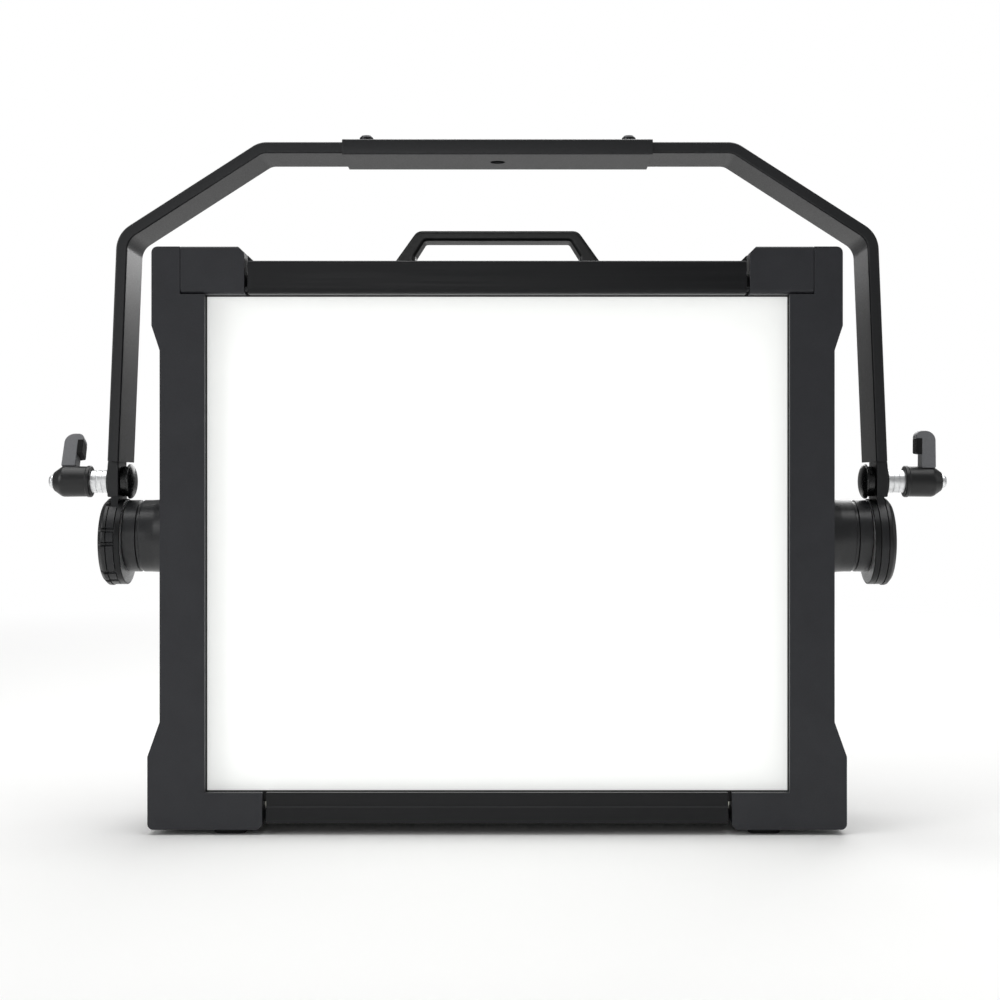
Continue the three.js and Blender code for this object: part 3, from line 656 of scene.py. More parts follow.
@dataclass(frozen=True)
class TurnedMetal(Finish):
    """Metal turned on a lathe: rings about the X axis, through a given height, that catch the light."""

    height: float = 0.0
    ring: float = 0.9
    depth: float = 0.012
    second: str = "#8f9194"
    edge: float = 30.0
    # Painted shade: the dark colour of the rim beyond the edge, standing in for the shadow on it.
    blackened: str = "#1b1c1d"

    def draw(self, tree: bpy.types.NodeTree, shader: bpy.types.Node) -> None:
        """Draws the tool marks as rings, in relief and colour, and paints shade on what lies beyond the edge.
        """
        spot = add(tree, "ShaderNodeTexCoord", {}, {}).outputs["Object"]
        centred = add(tree, "ShaderNodeMapping", {}, {"Vector": spot, "Location": (0, 0, -self.height * MM)})
        settings = {"wave_type": "RINGS", "rings_direction": "X"}
        limits = {"Vector": centred.outputs[0], "Scale": 1 / (self.ring * MM * 6.28), "Distortion": 0.6}
        rings = add(tree, "ShaderNodeTexWave", settings, limits).outputs[1]
        self.emboss(tree, shader, rings, self.depth)
        bright = {0: rings, 6: linear(self.colour), 7: linear(self.second)}
        face = add(tree, "ShaderNodeMix", {"data_type": "RGBA"}, bright).outputs[2]
        flat = add(
            tree, "ShaderNodeVectorMath", {"operation": "MULTIPLY"}, {0: centred.outputs[0], 1: (0, 1, 1)})
        away = add(
            tree, "ShaderNodeVectorMath", {"operation": "LENGTH"}, {0: flat.outputs[0]}).outputs["Value"]
        rim = {"Value": away, "From Min": (self.edge - 0.3) * MM, "From Max": self.edge * MM}
        share = add(tree, "ShaderNodeMapRange", {}, rim).outputs[0]
        # Beyond the edge the colour turns to the painted rim shade.
        both = {0: share, 6: face, 7: linear(self.blackened)}
        colour = add(tree, "ShaderNodeMix", {"data_type": "RGBA"}, both).outputs[2]
        tree.links.new(colour, shader.inputs["Base Color"])


@dataclass(frozen=True)
class LitOpal(Finish):
    """Opal acrylic lit from behind: it glows evenly, a little less near its edges."""

    half_width: float = 200.0
    half_height: float = 170.0
    height: float = 198.7
    fade: float = 70.0
    rim: str = "#b2b3b2"
    glow: str = "#c8cac9"
    border: float = 0.0
    mask: str = "#121213"

    def draw(self, tree: bpy.types.NodeTree, shader: bpy.types.Node) -> None:
        """Fades the glow towards the nearest edge, and prints a black border outside the aperture."""
        spot = add(tree, "ShaderNodeTexCoord", {}, {}).outputs["Object"]
        centred = add(tree, "ShaderNodeMapping", {}, {"Vector": spot, "Location": (0, 0, -self.height * MM)})
        parts = add(tree, "ShaderNodeSeparateXYZ", {}, {0: centred.outputs[0]}).outputs
        shares = []
        inside = []
        for part, half in ((parts[0], self.half_width), (parts[2], self.half_height)):
            off = add(tree, "ShaderNodeMath", {"operation": "ABSOLUTE"}, {0: part}).outputs[0]
            limits = {"Value": off, "From Min": half * MM, "From Max": (half - self.fade) * MM}
            shares.append(
                add(tree, "ShaderNodeMapRange", {"interpolation_type": "SMOOTHSTEP"}, limits).outputs[0])
            start = half + self.border
            edge = {"Value": off, "From Min": (start + 0.6) * MM, "From Max": start * MM}
            inside.append(add(tree, "ShaderNodeMapRange", {}, edge).outputs[0])
        both = add(tree, "ShaderNodeMath", {"operation": "MULTIPLY"}, {0: shares[0], 1: shares[1]}).outputs[0]
        open_part = add(
            tree, "ShaderNodeMath", {"operation": "MULTIPLY"}, {0: inside[0], 1: inside[1]}).outputs[0]
        colours = {0: both, 6: linear(self.rim), 7: linear(self.glow)}
        glow = add(tree, "ShaderNodeMix", {"data_type": "RGBA"}, colours).outputs[2]
        lit = {0: open_part, 6: (0, 0, 0, 1), 7: glow}
        masked = add(tree, "ShaderNodeMix", {"data_type": "RGBA"}, lit).outputs[2]
        tree.links.new(masked, shader.inputs["Emission Color"])
        shader.inputs["Emission Strength"].default_value = 1.0
        faces = {0: open_part, 6: linear(self.mask), 7: linear(self.colour)}
        face = add(tree, "ShaderNodeMix", {"data_type": "RGBA"}, faces).outputs[2]
        tree.links.new(face, shader.inputs["Base Color"])
        gloss = self.spread(tree, self.noise(tree, 1.5), self.roughness - 0.05, self.roughness + 0.05)
        tree.links.new(gloss, shader.inputs["Roughness"])


@dataclass(frozen=True)
class LitMark(Finish):
    """Thin marks that give light, as on a display."""

    strength: float = 1.0

    def draw(self, tree: bpy.types.NodeTree, shader: bpy.types.Node) -> None:
        """Lights the marks, slightly uneven as behind a real window."""
        self.tint(tree, shader, self.spread(tree, self.noise(tree, 3.0), 0.0, 0.4), "#0c2a33")
        shader.inputs["Emission Color"].default_value = linear(self.colour)
        shader.inputs["Emission Strength"].default_value = self.strength


# Spark-eroded ABS: a fine dry grain that keeps the black from shining. Real grain is 0.2 mm, drawn coarser
# to show.
MOULDED_ABS = MouldedTexture(
    "moulded_abs_charcoal", "#232428", 0.52, grain=1.1, depth=0.045, second="#28292d", specular=0.36)
# Glass-filled nylon, moulded: smoother than the frame, so that handles and knobs have a soft highlight.
NYLON = MouldedTexture(
    "glass_filled_nylon_black", "#0c0d0e", 0.4, grain=0.9, depth=0.02, second="#101112", specular=0.5)
CONSOLE_ABS = MouldedTexture(
    "console_abs_black", "#161719", 0.48, grain=0.8, depth=0.03, second="#1b1c1e", specular=0.4)
RUBBER = MouldedTexture(
    "moulded_rubber_black", "#0f0f10", 0.78, grain=1.3, depth=0.05, second="#151516", specular=0.25)
# Anodised aluminium extrusion: satin black with die lines along its length.
ANODISED_RAIL = DrawnMetal(
    "anodised_aluminium_black", "#0f1012", 0.36, metallic=0.25, second="#141517", specular=0.3)
BARE_ALUMINIUM = DrawnMetal("extruded_aluminium_bare", "#a8aaad", 0.36, metallic=1.0, second="#8e9194")
GALVANISED = DrawnMetal(
    "galvanised_sheet_steel", "#9da0a3", 0.42, metallic=1.0, line=7, length=9, second="#85888c")
# Powder paint on sheet and bar: an even black with orange peel, glossier where the bar has been bent and
# rubbed.
HOUSING_PAINT = PowderCoat("powder_coat_housing", "#18191b", 0.5, second="#1e1f21", specular=0.4)
YOKE_PAINT = PowderCoat("powder_coat_yoke", "#18191b", 0.38, depth=0.025, second="#1d1e20", specular=0.4)
BOSS_PAINT = PowderCoat("powder_coat_boss", "#1c1d1f", 0.34, depth=0.02, second="#232426")
# Die casting in grey stove enamel, with the slight waviness of a casting under paint.
LEVER_ENAMEL = PowderCoat("stove_enamel_grey", "#67686b", 0.45, peel=3.0, second="#6f7073", speck=1.2)
PAD_ENAMEL = PowderCoat("gloss_enamel_black", "#0b0c0d", 0.3, depth=0.01, second="#0e0f10", coat=0.1)
NICKEL = DrawnMetal(
    "nickel_plated_steel", "#f0f1f2", 0.38, metallic=1.0, line=3, length=4, depth=0.001, second="#e8e9ea")
ZINC = PowderCoat("zinc_plated_screws", "#77797c", 0.32, metallic=1.0, second="#696b6e")
BLACK_SCREW = PowderCoat("black_oxide_screws", "#202123", 0.3, metallic=0.6, second="#27282a")
BRASS = DrawnMetal("gilt_contact_brass", "#c79a45", 0.25, metallic=1.0, line=1, length=1, second="#b3873a")
OPAL = LitOpal("opal_acrylic_lit", "#e9eae8", 0.42, ior=1.49)
WHITE_FOIL = MouldedTexture("white_reflector_film", "#e6e6e2", 0.7, grain=2.0, depth=0.01, second="#dededa")
LED_MASK = MouldedTexture("white_solder_mask", "#e3e2da", 0.4, grain=1.0, depth=0.01, second="#dad9cf")
GREEN_MASK = MouldedTexture(
    "green_solder_mask", "#1d4a33", 0.35, grain=3.0, depth=0.02, second="#245a3f", patch=9)
WINDOW_GLASS = PowderCoat("smoked_window_acrylic", "#0a0d0f", 0.08, peel=20.0, depth=0.01, second="#0c1013")
DISPLAY_LIGHT = LitMark("display_marks_lit", "#7fd0e4", 0.3, strength=0.9)
PRINT_WHITE = MouldedTexture("screen_print_white", "#b9babb", 0.6, grain=0.6, depth=0.01, second="#a9aaab")


# ---------------------------------------------------------------- front frame and gate


@dataclass
class FrontFrame:
    """Side mouldings, bottom rail, diffuser and feet."""

    moulding_ease: float = 1.0
    rail_step: float = 11.1
    rail_back: float = 1.0
    rail_lip: float = 5.0
    slot_floor: float = 12.5
    diffuser_ease: float = 0.8
    foot_corner: float = 4.0
    foot_ease: float = 1.1

    def build(self) -> None:
        """Makes and dresses every piece."""
        for side in Side:
            eased_copy(f"{side.word}_side_moulding", self.moulding_ease, MOULDED_ABS)
        self.bottom_rail()
        box = Extent.of("diffuser")
        sheet = rounded(rectangle(box.low[0], box.high[0], box.low[2], box.high[2]), 2)
        stand_in("diffuser", [prism(sheet, Axis.Y, box.low[1], box.high[1], self.diffuser_ease)], OPAL)
        for row in ("front", "rear"):
            for side in Side:
                self.foot(f"foot_{row}_{side.word}")

    def bottom_rail(self) -> None:
        """Extruded rail: a lower band that stands proud, and an upper one that ends in the slot's lip."""
        box = Extent.of("bottom_rail")
        front, back = box.low[1], box.high[1]
        low, high = box.low[2], box.high[2]
        section = rounded([
            [front, low],
            [front, low + self.rail_step],
            [front + self.rail_back, low + self.rail_step + 0.8],
            [front + self.rail_back, high],
            [front + self.rail_lip, high],
            [front + self.rail_lip, low + self.slot_floor],
            [back, low + self.slot_floor],
            [back, low],
        ], [0.7, 0.35, 0.2, 0.5, 0.5, 0.5, 0.6, 0.6], 4)
        stand_in("bottom_rail", [prism(section, Axis.X, box.low[0], box.high[0], 0.25, 2)], ANODISED_RAIL)

    def foot(self, node: str) -> None:
        """Rubber foot: a rounded block."""
        box = Extent.of(node)
        outline = rounded(rectangle(box.low[0], box.high[0], box.low[1], box.high[1]), self.foot_corner)
        ease = min(self.foot_ease, box.size[2] / 3)
        stand_in(node, [prism(outline, Axis.Z, box.low[2], box.high[2], ease)], RUBBER)


@dataclass
class TopGate:
    """Gate over the accessory slot: a rail between two blocks, on a long hinge rod."""

    rail_ease: float = 0.5
    block_ease: float = 0.9
    rod_ease: float = 0.4

    def build(self) -> None:
        """Makes and dresses every piece."""
        eased_copy("gate_rail", self.rail_ease, ANODISED_RAIL, 2)
        for side in Side:
            eased_copy(f"gate_{side.word}_block", self.block_ease, MOULDED_ABS)
        box = Extent.of("gate_hinge_rod")
        radius = box.size[1] / 2
        rod = prism(
            circle(box.middle[1], box.middle[2], radius), Axis.X, box.low[0], box.high[0], self.rod_ease, 3)
        stand_in("gate_hinge_rod", [rod], BLACK_SCREW)


# ---------------------------------------------------------------- housing, optics, cooling


@dataclass
class Housing:
    """Painted housing and rear cover, with the cover's screws."""

    ease: float = 0.5
    screw_inset: float = 9.0
    screw_radius: float = 3.0
    screw_height: float = 1.7
    screw_key: float = 1.25

    def build(self) -> None:
        """Makes and dresses every piece."""
        eased_copy("housing_body", self.ease, HOUSING_PAINT, 2)
        eased_copy("rear_cover", self.ease, HOUSING_PAINT, 2)
        cover = Extent.of("rear_cover")
        left, right = cover.low[0] + self.screw_inset, cover.high[0] - self.screw_inset
        low, high = cover.low[2] + self.screw_inset, cover.high[2] - self.screw_inset
        across = [left, left / 2, 0.0, right / 2, right]
        places = [(x, z) for x in across for z in (low, high)] + [
            (x, (low + high) / 2) for x in (left, right)]
        screws = [
            key_screw((x, cover.high[1], z), Axis.Y, 1, self.screw_radius, self.screw_height, self.screw_key)
            for x, z in places
        ]
        piece("rear_cover_screws", screws, BLACK_SCREW, "rear_cover")
        self.side_screws()

    def side_screws(self) -> None:
        """Screws through the housing's flanks, four each side."""
        box = Extent.of("housing_body")
        for side in Side:
            outer = side.value * box.outer(side)
            screws = [
                key_screw((outer, y, z), Axis.X, side.value, 2.4, 1.2, 1.0)
                for y in (-20.0, 26.0)
                for z in (box.low[2] + 30, box.high[2] - 24)
            ]
            piece(f"{side.word}_housing_screws", screws, BLACK_SCREW, "housing_body")


@dataclass
class Cooling:
    """Heat sink, fan frame and the fan's rotor with its twisted blades."""

    blades: int = 7
    hub: float = 17.5
    tip: float = 52.5
    chord: float = 21.0
    thickness: float = 1.5
    root_pitch: float = 52.0
    tip_pitch: float = 30.0

    def build(self) -> None:
        """Makes and dresses every piece."""
        dress("heat_sink", BARE_ALUMINIUM)
        eased_copy("fan_frame", 0.4, NYLON, 2)
        box = Extent.of("fan_rotor")
        x, y, z = box.middle
        depth = box.size[1] / 2
        hub = rounded(
            [[-depth, 1], [-depth, self.hub], [depth, self.hub], [depth, 1]], [0, 2.5, 2.5, 0], 6, False)
        shells = [lathe(hub + (y, 0), (x, z), Axis.Y, 64)]
        shells += [self.blade(i).moved(x, y, z) for i in range(self.blades)]
        stand_in("fan_rotor", shells, NYLON)

    def blade(self, number: int) -> Shell:
        """Twisted blade about the Y axis.

        Ring i lies at radius r_i; its section is an ellipse, chord by thickness, turned by a pitch that
        falls from root to tip, and swept back by an angle that grows with the radius.
        """
        share = np.linspace(0, 1, 14)[:, None]
        round_section = np.linspace(0, 2 * np.pi, 28, endpoint=False)[None, :]
        pitch = np.radians(self.root_pitch + (self.tip_pitch - self.root_pitch) * share)
        radius = self.hub - 1 + (self.tip - self.hub + 1) * share
        wide = 0.5 * self.chord * (0.8 + 0.25 * np.sin(np.pi * share ** 0.8)) * np.cos(round_section)
        thick = 0.5 * self.thickness * np.sin(round_section)
        tangent = wide * np.cos(pitch) - thick * np.sin(pitch)
        axial = np.clip(wide * np.sin(pitch) + thick * np.cos(pitch), -8.3, 8.3)
        angle = number * 2 * np.pi / self.blades + tangent / radius + 0.25 * share ** 2
        return loft(Axis.Y.place(np.stack([radius * np.cos(angle), radius * np.sin(angle)], axis=-1), axial))


@dataclass
class Insides:
    """Mixing chamber, light board and electronics, behind the diffuser and the vents."""

    def build(self) -> None:
        """Dresses the nodes that keep their form."""
        dress("reflector_box", WHITE_FOIL)
        dress("led_board", LED_MASK)
        dress("power_supply", GALVANISED)
        dress("driver_board", GREEN_MASK)


# ---------------------------------------------------------------- console on the back


@dataclass
class Console:
    """Control console: display, two knobs, four buttons, rocker switch and three sockets."""

    ease: float = 0.6
    print_height: float = 0.12
    tick_count: int = 11
    tick_sweep: float = 270.0
    tick_length: float = 1.6
    tick_radius: float = 13.2
    flutes: int = 24
    flute_depth: float = 0.45
    bars: int = 12
    pin_radius: float = 0.9

    def build(self) -> None:
        """Makes and dresses every piece."""
        eased_copy("control_panel", self.ease, CONSOLE_ABS, 3)
        self.face = Extent.of("control_panel").high[1]
        self.window()
        for name in ("dimmer", "colour"):
            self.knob(name)
        for number in range(1, 5):
            self.button(f"push_button_{number}")
        self.rocker()
        for node, pins in (("power_inlet", 3), ("data_socket_in", 5), ("data_socket_out", 5)):
            self.socket(node, pins)
        self.console_screws()

    def mark(
            self, u0: float, u1: float, v0: float, v1: float, turn: float = 0.0,
            about: Any = (0, 0)) -> Shell:
        """Thin printed bar on the console: a rectangle turned, in degrees, and laid at a point."""
        flat = rounded(rectangle(u0, u1, v0, v1), 0.15, 2)
        swing = math.radians(turn)
        spun = flat @ np.array([[math.cos(swing), math.sin(swing)], [-math.sin(swing), math.cos(swing)]])
        return prism(
            spun + np.asarray(about, float), Axis.Y, self.face - 0.02, self.face + self.print_height, 0.03, 1)

    def window(self) -> None:
        """Smoked window with a level bar for brightness, one for colour, and a mark over each button."""
        box = Extent.of("display_window")
        plate = rounded(rectangle(box.low[0], box.high[0], box.low[2], box.high[2]), 1.5)
        stand_in("display_window", [prism(plate, Axis.Y, box.low[1], box.high[1], 0.3, 2)], WINDOW_GLASS)
        left, width = box.low[0] + 8, box.size[0] - 16
        pitch = width / self.bars
        lit = [
            rectangle(
                left + i * pitch, left + i * pitch + 0.62 * pitch, box.low[2] + base,
                box.low[2] + base + tall)
            for base, tall, count in ((30.0, 7.0, self.bars - 3), (19.0, 5.0, self.bars // 2))
            for i in range(count)
        ]
        lit += [rectangle(x - 4, x + 4, box.low[2] + 6, box.low[2] + 8) for x in self.button_places()]
        front = box.high[1]
        shells = [prism(rounded(bar, 0.3, 2), Axis.Y, front - 0.02, front + 0.06, 0.02, 1) for bar in lit]
        piece("display_marks", shells, DISPLAY_LIGHT, "display_window")

    def button_places(self) -> list[float]:
        """Middles of the four buttons along X."""
        return [float(Extent.of(f"push_button_{number}").middle[0]) for number in range(1, 5)]

    def knob(self, name: str) -> None:
        """Fluted knob with a dished top, its pointer, its shaft and the ticks round it.

        The radius at angle t is r - d (1 - cos(n t)) / 2 between the collar and the rim, for n flutes of
        depth d.
        """
        box = Extent.of(f"{name}_knob")
        x, _, z = box.middle
        near, far, radius = box.low[1], box.high[1], box.size[0] / 2
        rim = [[near, 1], [near, radius], [near + 1.2, radius], [far, radius - 0.6], [far, radius - 2.2]]
        profile = rounded(
            rim + [[far - 0.5, radius - 3.0], [far - 0.7, 0.5]], [0, 0.3, 0.2, 0.9, 0.3, 0.3, 0], 5, False)

        def fluted(turn: Array, along: Array, r: Array) -> Array:
            """Flutes the side between collar and rim."""
            share = np.clip((along - near - 1.2) / 0.8, 0, 1) * (r > radius - 2.0)
            return r - self.flute_depth * share * (1 - np.cos(self.flutes * turn)) / 2

        stand_in(f"{name}_knob", [lathe(profile, (x, z), Axis.Y, self.flutes * 12, form=fluted)], NYLON)
        pointer = rounded(rectangle(x - 0.55, x + 0.55, z + 2.5, z + radius - 2.9), 0.3, 3)
        piece(
            f"{name}_pointer", [prism(pointer, Axis.Y, far - 0.8, far - 0.35, 0.1, 2)], PRINT_WHITE,
            f"{name}_knob")
        dress(f"{name}_shaft", NICKEL)
        angles = np.linspace(-self.tick_sweep / 2, self.tick_sweep / 2, self.tick_count)
        ticks = [
            self.mark(-0.25, 0.25, self.tick_radius, self.tick_radius + self.tick_length, angle, (x, z))
            for angle in angles
        ]
        piece(f"{name}_ticks", ticks, PRINT_WHITE, "control_panel")

    def button(self, node: str) -> None:
        """Rubber button with a rounded shoulder and a dished top."""
        box = Extent.of(node)
        x, _, z = box.middle
        near, far, radius = box.low[1], box.high[1], box.size[0] / 2
        corners = [[near, 0.5], [near, radius], [far, radius], [far, radius - 1.1], [far - 0.35, 0.4]]
        profile = rounded(corners, [0, 0.2, 0.7, 0.5, 0], 6, False)
        stand_in(node, [lathe(profile, (x, z), Axis.Y, 48)], RUBBER)

    def rocker(self) -> None:
        """Rocker switch with a ring and a bar moulded on its halves."""
        eased_copy("power_switch", 0.5, NYLON, 3)
        box = Extent.of("power_switch")
        x, _, z = box.middle
        face = box.low[1] + 4.35
        bar_outline = rounded(rectangle(x - 0.35, x + 0.35, z - 7.2, z - 4.2), 0.2, 2)
        bar = prism(bar_outline, Axis.Y, face, face + 0.4, 0.05, 1)
        ring_profile = rounded([[face, 1.1], [face + 0.6, 1.1], [face + 0.6, 1.7], [face, 1.7]], 0.08, 2)
        ring = lathe(ring_profile, (x, z + 5.6), Axis.Y, 32, closed=True)
        piece("power_switch_marks", [bar, ring], PRINT_WHITE, "power_switch")

    def socket(self, node: str, pins: int) -> None:
        """Panel socket: square flange with two screws, round shell with a rolled rim, and its pins."""
        box = Extent.of(node)
        x, _, z = box.middle
        near, far, half = box.low[1], box.high[1], box.size[0] / 2
        outer = half - 2
        inner = outer - 2
        flange = prism(
            rounded(rectangle(x - half, x + half, z - half, z + half), 3), Axis.Y, near, near + 1.6, 0.4)
        corners = [
            [near, outer],
            [far, outer],
            [far, inner],
            [near + 1, inner],
            [near + 1, 0.5],
            [near, 0.5],
        ]
        profile = rounded(corners, [0, 0.8, 0.5, 0.3, 0, 0], 5)
        shell = lathe(profile, (x, z), Axis.Y, 64, closed=True)
        stand_in(node, [flange, shell], NYLON)
        seat = near + 1.6
        offset = half - 2.3
        screws = [
            key_screw((x + s * offset, seat, z + s * offset), Axis.Y, 1, 1.5, 0.8, 0.65) for s in (-1, 1)]
        piece(f"{node}_screws", screws, BLACK_SCREW, node)
        ring = 0.52 * inner
        turn = np.arange(pins) * 2 * np.pi / pins + np.pi / 2
        places = zip(x + ring * np.cos(turn), z + ring * np.sin(turn))
        tip = rounded([[0, self.pin_radius], [5.6, self.pin_radius], [6.2, 0.3]], [0, 0.5, 0], 4, False)
        contacts = [lathe(tip + (near + 1, 0), place, Axis.Y, 16) for place in places]
        piece(f"{node}_contacts", contacts, BRASS, node)

    def console_screws(self) -> None:
        """Screws in the console's corners."""
        box = Extent.of("control_panel")
        screws = [
            key_screw((x, box.high[1], z), Axis.Y, 1, 2.6, 1.4, 1.1)
            for x in (box.low[0] + 7, box.high[0] - 7)
            for z in (box.low[2] + 7, box.high[2] - 7)
        ]
        piece("console_screws", screws, BLACK_SCREW, "control_panel")


# ---------------------------------------------------------------- handle


@dataclass
class Handle:
    """Carrying handle: a flat-topped bow with sloping shoulders, thickest at its feet."""

    crown: float = 53.0
    shoulder: float = 23.5
    opening: float = 51.4
    leg: float = 58.3
    leg_top: float = 18.0
    thickness: float = 7.2
    ease: float = 2.6

    def build(self) -> None:
        """Makes and dresses the handle."""
        box = Extent.of("handle")
        half = box.high[0]
        low, high = box.low[2], box.high[2]
        right = [
            [half, low],
            [half - 0.2, high - self.shoulder],
            [self.crown + 4, high],
            [-self.crown - 4, high],
            [-half + 0.2, high - self.shoulder],
            [-half, low],
            [-self.leg, low],
            [-self.leg, low + self.leg_top - 1],
            [-self.opening, high - self.thickness],
            [self.opening, high - self.thickness],
            [self.leg, low + self.leg_top - 1],
            [self.leg, low],
        ]
        radii = [0, 5, 7, 7, 5, 0, 0, 3, 2.5, 2.5, 3, 0]
        outline = rounded(right, radii, 6)
        stand_in("handle", [prism(outline, Axis.Y, box.low[1], box.high[1], self.ease, 6)], NYLON)


# ---------------------------------------------------------------- pivots


@dataclass
class GripRim:
    """Round rim with pairs of notches, as on the hand knob and the hub plate behind it."""

    radius: float
    pairs: int = 6
    spread: float = 9.2
    notch: float = 1.5
    turn: float = 7.0
    inside: float = 0.8
    knob_radius: float = 31.2

    def middles(self) -> Array:
        """Angle of each notch, in radians."""
        starts = np.arange(self.pairs) * 360 / self.pairs
        return np.radians(np.concatenate([starts + s * self.spread for s in (-1, 1)]) - self.turn)

    def wall(self, turn: Array) -> Array:
        """Radius of the notched rim at some angles.

        A notch is a round cut of radius a centred at distance D, so at an angle f from its middle its wall
        lies at D cos f - sqrt(a^2 - D^2 sin^2 f).

        Args:
            turn: Angles in radians.

        Returns:
            The smallest of the rim's radius and the notches' walls.
        """
        reach = self.knob_radius - self.inside
        off = (turn[..., None] - self.middles() + np.pi) % (2 * np.pi) - np.pi
        under = self.notch ** 2 - (reach * np.sin(off)) ** 2
        near = (under > 0) & (np.abs(off) < 0.5)
        wall = np.where(near, reach * np.cos(off) - np.sqrt(np.where(near, under, 0)), self.radius)
        return np.minimum(wall.min(axis=-1), self.radius)


@dataclass
class Pivot:
    """One end of the tilt axis: boss, brake disc, bolt, and the knob or cap outside the arm."""

    side: Side
    flare: float = 4.0
    groove_in: float = 10.6
    groove: float = 1.2

    def build(self) -> None:
        """Makes and dresses every piece."""
        word = self.side.word
        self.axis = (Extent.of(f"{word}_brake_disc").middle[1], Extent.of(f"{word}_brake_disc").middle[2])
        self.boss()
        self.disc()
        self.bolt()
        if self.side is Side.LEFT:
            self.knob()
        else:
            self.cap()

    def span(self, node: str) -> tuple[float, float, float]:
        """Inner end, outer end and radius of a round node on the tilt axis."""
        box = Extent.of(node)
        return box.inner(self.side), box.outer(self.side), box.size[2] / 2

    def boss(self) -> None:
        """Round boss that flares where it meets the panel, with a groove round it near the disc."""
        node = f"{self.side.word}_pivot_boss"
        inner, outer, foot = self.span(node)
        radius = foot - self.flare
        groove = outer - self.groove_in
        profile = rounded([
            [inner, 0.5],
            [inner, foot],
            [inner + 5, radius + 2.8],
            [inner + 10, radius + 1.4],
            [inner + 16, radius + 0.25],
            [inner + 21, radius],
            [groove - 1.3, radius],
            [groove - 0.9, radius - self.groove],
            [groove + 0.9, radius - self.groove],
            [groove + 1.3, radius],
            [outer, radius],
            [outer, 0.5],
        ], [0, 0.2, 12, 16, 20, 20, 0.3, 0.3, 0.3, 0.3, 0.9, 0], 6, False)
        box = Extent.of(node)
        centre = (box.middle[1], box.middle[2])
        stand_in(node, [lathe(profile, centre, steps=128).on(self.side)], BOSS_PAINT)

    def disc(self) -> None:
        """Brake disc, bright on its faces, with painted shade on its outer rim."""
        node = f"{self.side.word}_brake_disc"
        inner, outer, radius = self.span(node)
        profile = rounded([
            [inner, 7],
            [inner, radius],
            [outer, radius],
            [outer, 7],
        ], [0, 0.5, 0.5, 0], 4)
        # The edge at radius - 0.7 puts the painted rim shade on the outer 0.7 mm, where the rim lies in
        # shadow.
        turned = TurnedMetal(
            "turned_brake_steel", "#f0f0f0", 0.36, metallic=0.55, height=float(self.axis[1]),
            second="#e2e3e4", edge=radius - 0.7)
        stand_in(node, [lathe(profile, self.axis, steps=128, closed=True).on(self.side)], turned)

    def bolt(self) -> None:
        """Pivot bolt: a bevelled shank with a hexagon socket in its end."""
        node = f"{self.side.word}_pivot_bolt"
        inner, outer, radius = self.span(node)
        profile = np.array([
            [inner, radius - 0.6],
            [inner + 0.6, radius],
            [outer - 0.8, radius],
            [outer, radius - 0.8],
            [outer, 3.3],
            [outer - 3.5, 3.2],
        ])
        is_socket = (np.arange(len(profile)) >= 4)[:, None]
        shank = lathe(profile, self.axis, steps=60, form=lambda t, _, r: np.where(is_socket, r * hexed(t), r))
        stand_in(node, [shank.on(self.side)], ZINC)

    def knob(self) -> None:
        """Hand knob with notches: its radius is the smaller of the profile's and the notched rim's."""
        inner, outer, radius = self.span("left_friction_knob")
        deep = outer - 2.4
        profile = rounded([
            [inner, 7],
            [inner, radius],
            [outer - 3.0, radius],
            [outer, radius - 3.2],
            [outer, 14.5],
            [deep, 12.5],
            [deep, 7],
        ], [0, 0.15, 2.4, 1.4, 0.6, 0.6, 0], 8)
        rim = GripRim(radius)

        def notched(turn: Array, _: Array, r: Array) -> Array:
            """Cuts the notches into the rim."""
            return np.minimum(r, np.where(r > 14.6, rim.wall(turn), radius))

        shell = lathe(profile, self.axis, steps=540, closed=True, form=notched)
        stand_in("left_friction_knob", [shell.on(Side.LEFT)], NYLON)

    def cap(self) -> None:
        """Plain hub cap with a shallow ring round a dished middle."""
        inner, outer, radius = self.span("right_hub_cap")
        profile = rounded([
            [inner, 7],
            [inner, radius],
            [outer - 3.0, radius],
            [outer - 0.3, radius - 3.4],
            [outer, 19],
            [outer - 0.8, 18.2],
            [outer - 0.8, 16.4],
            [outer - 0.2, 15.6],
            [outer - 0.2, 0.6],
            [outer - 0.9, 0.6],
            [outer - 0.9, 7],
        ], [0, 0.15, 2.4, 1.8, 0.3, 0.3, 0.3, 0.3, 0, 0, 0], 8)
        stand_in("right_hub_cap", [lathe(profile, self.axis, steps=144, closed=True).on(Side.RIGHT)], NYLON)


# ---------------------------------------------------------------- yoke and clamps


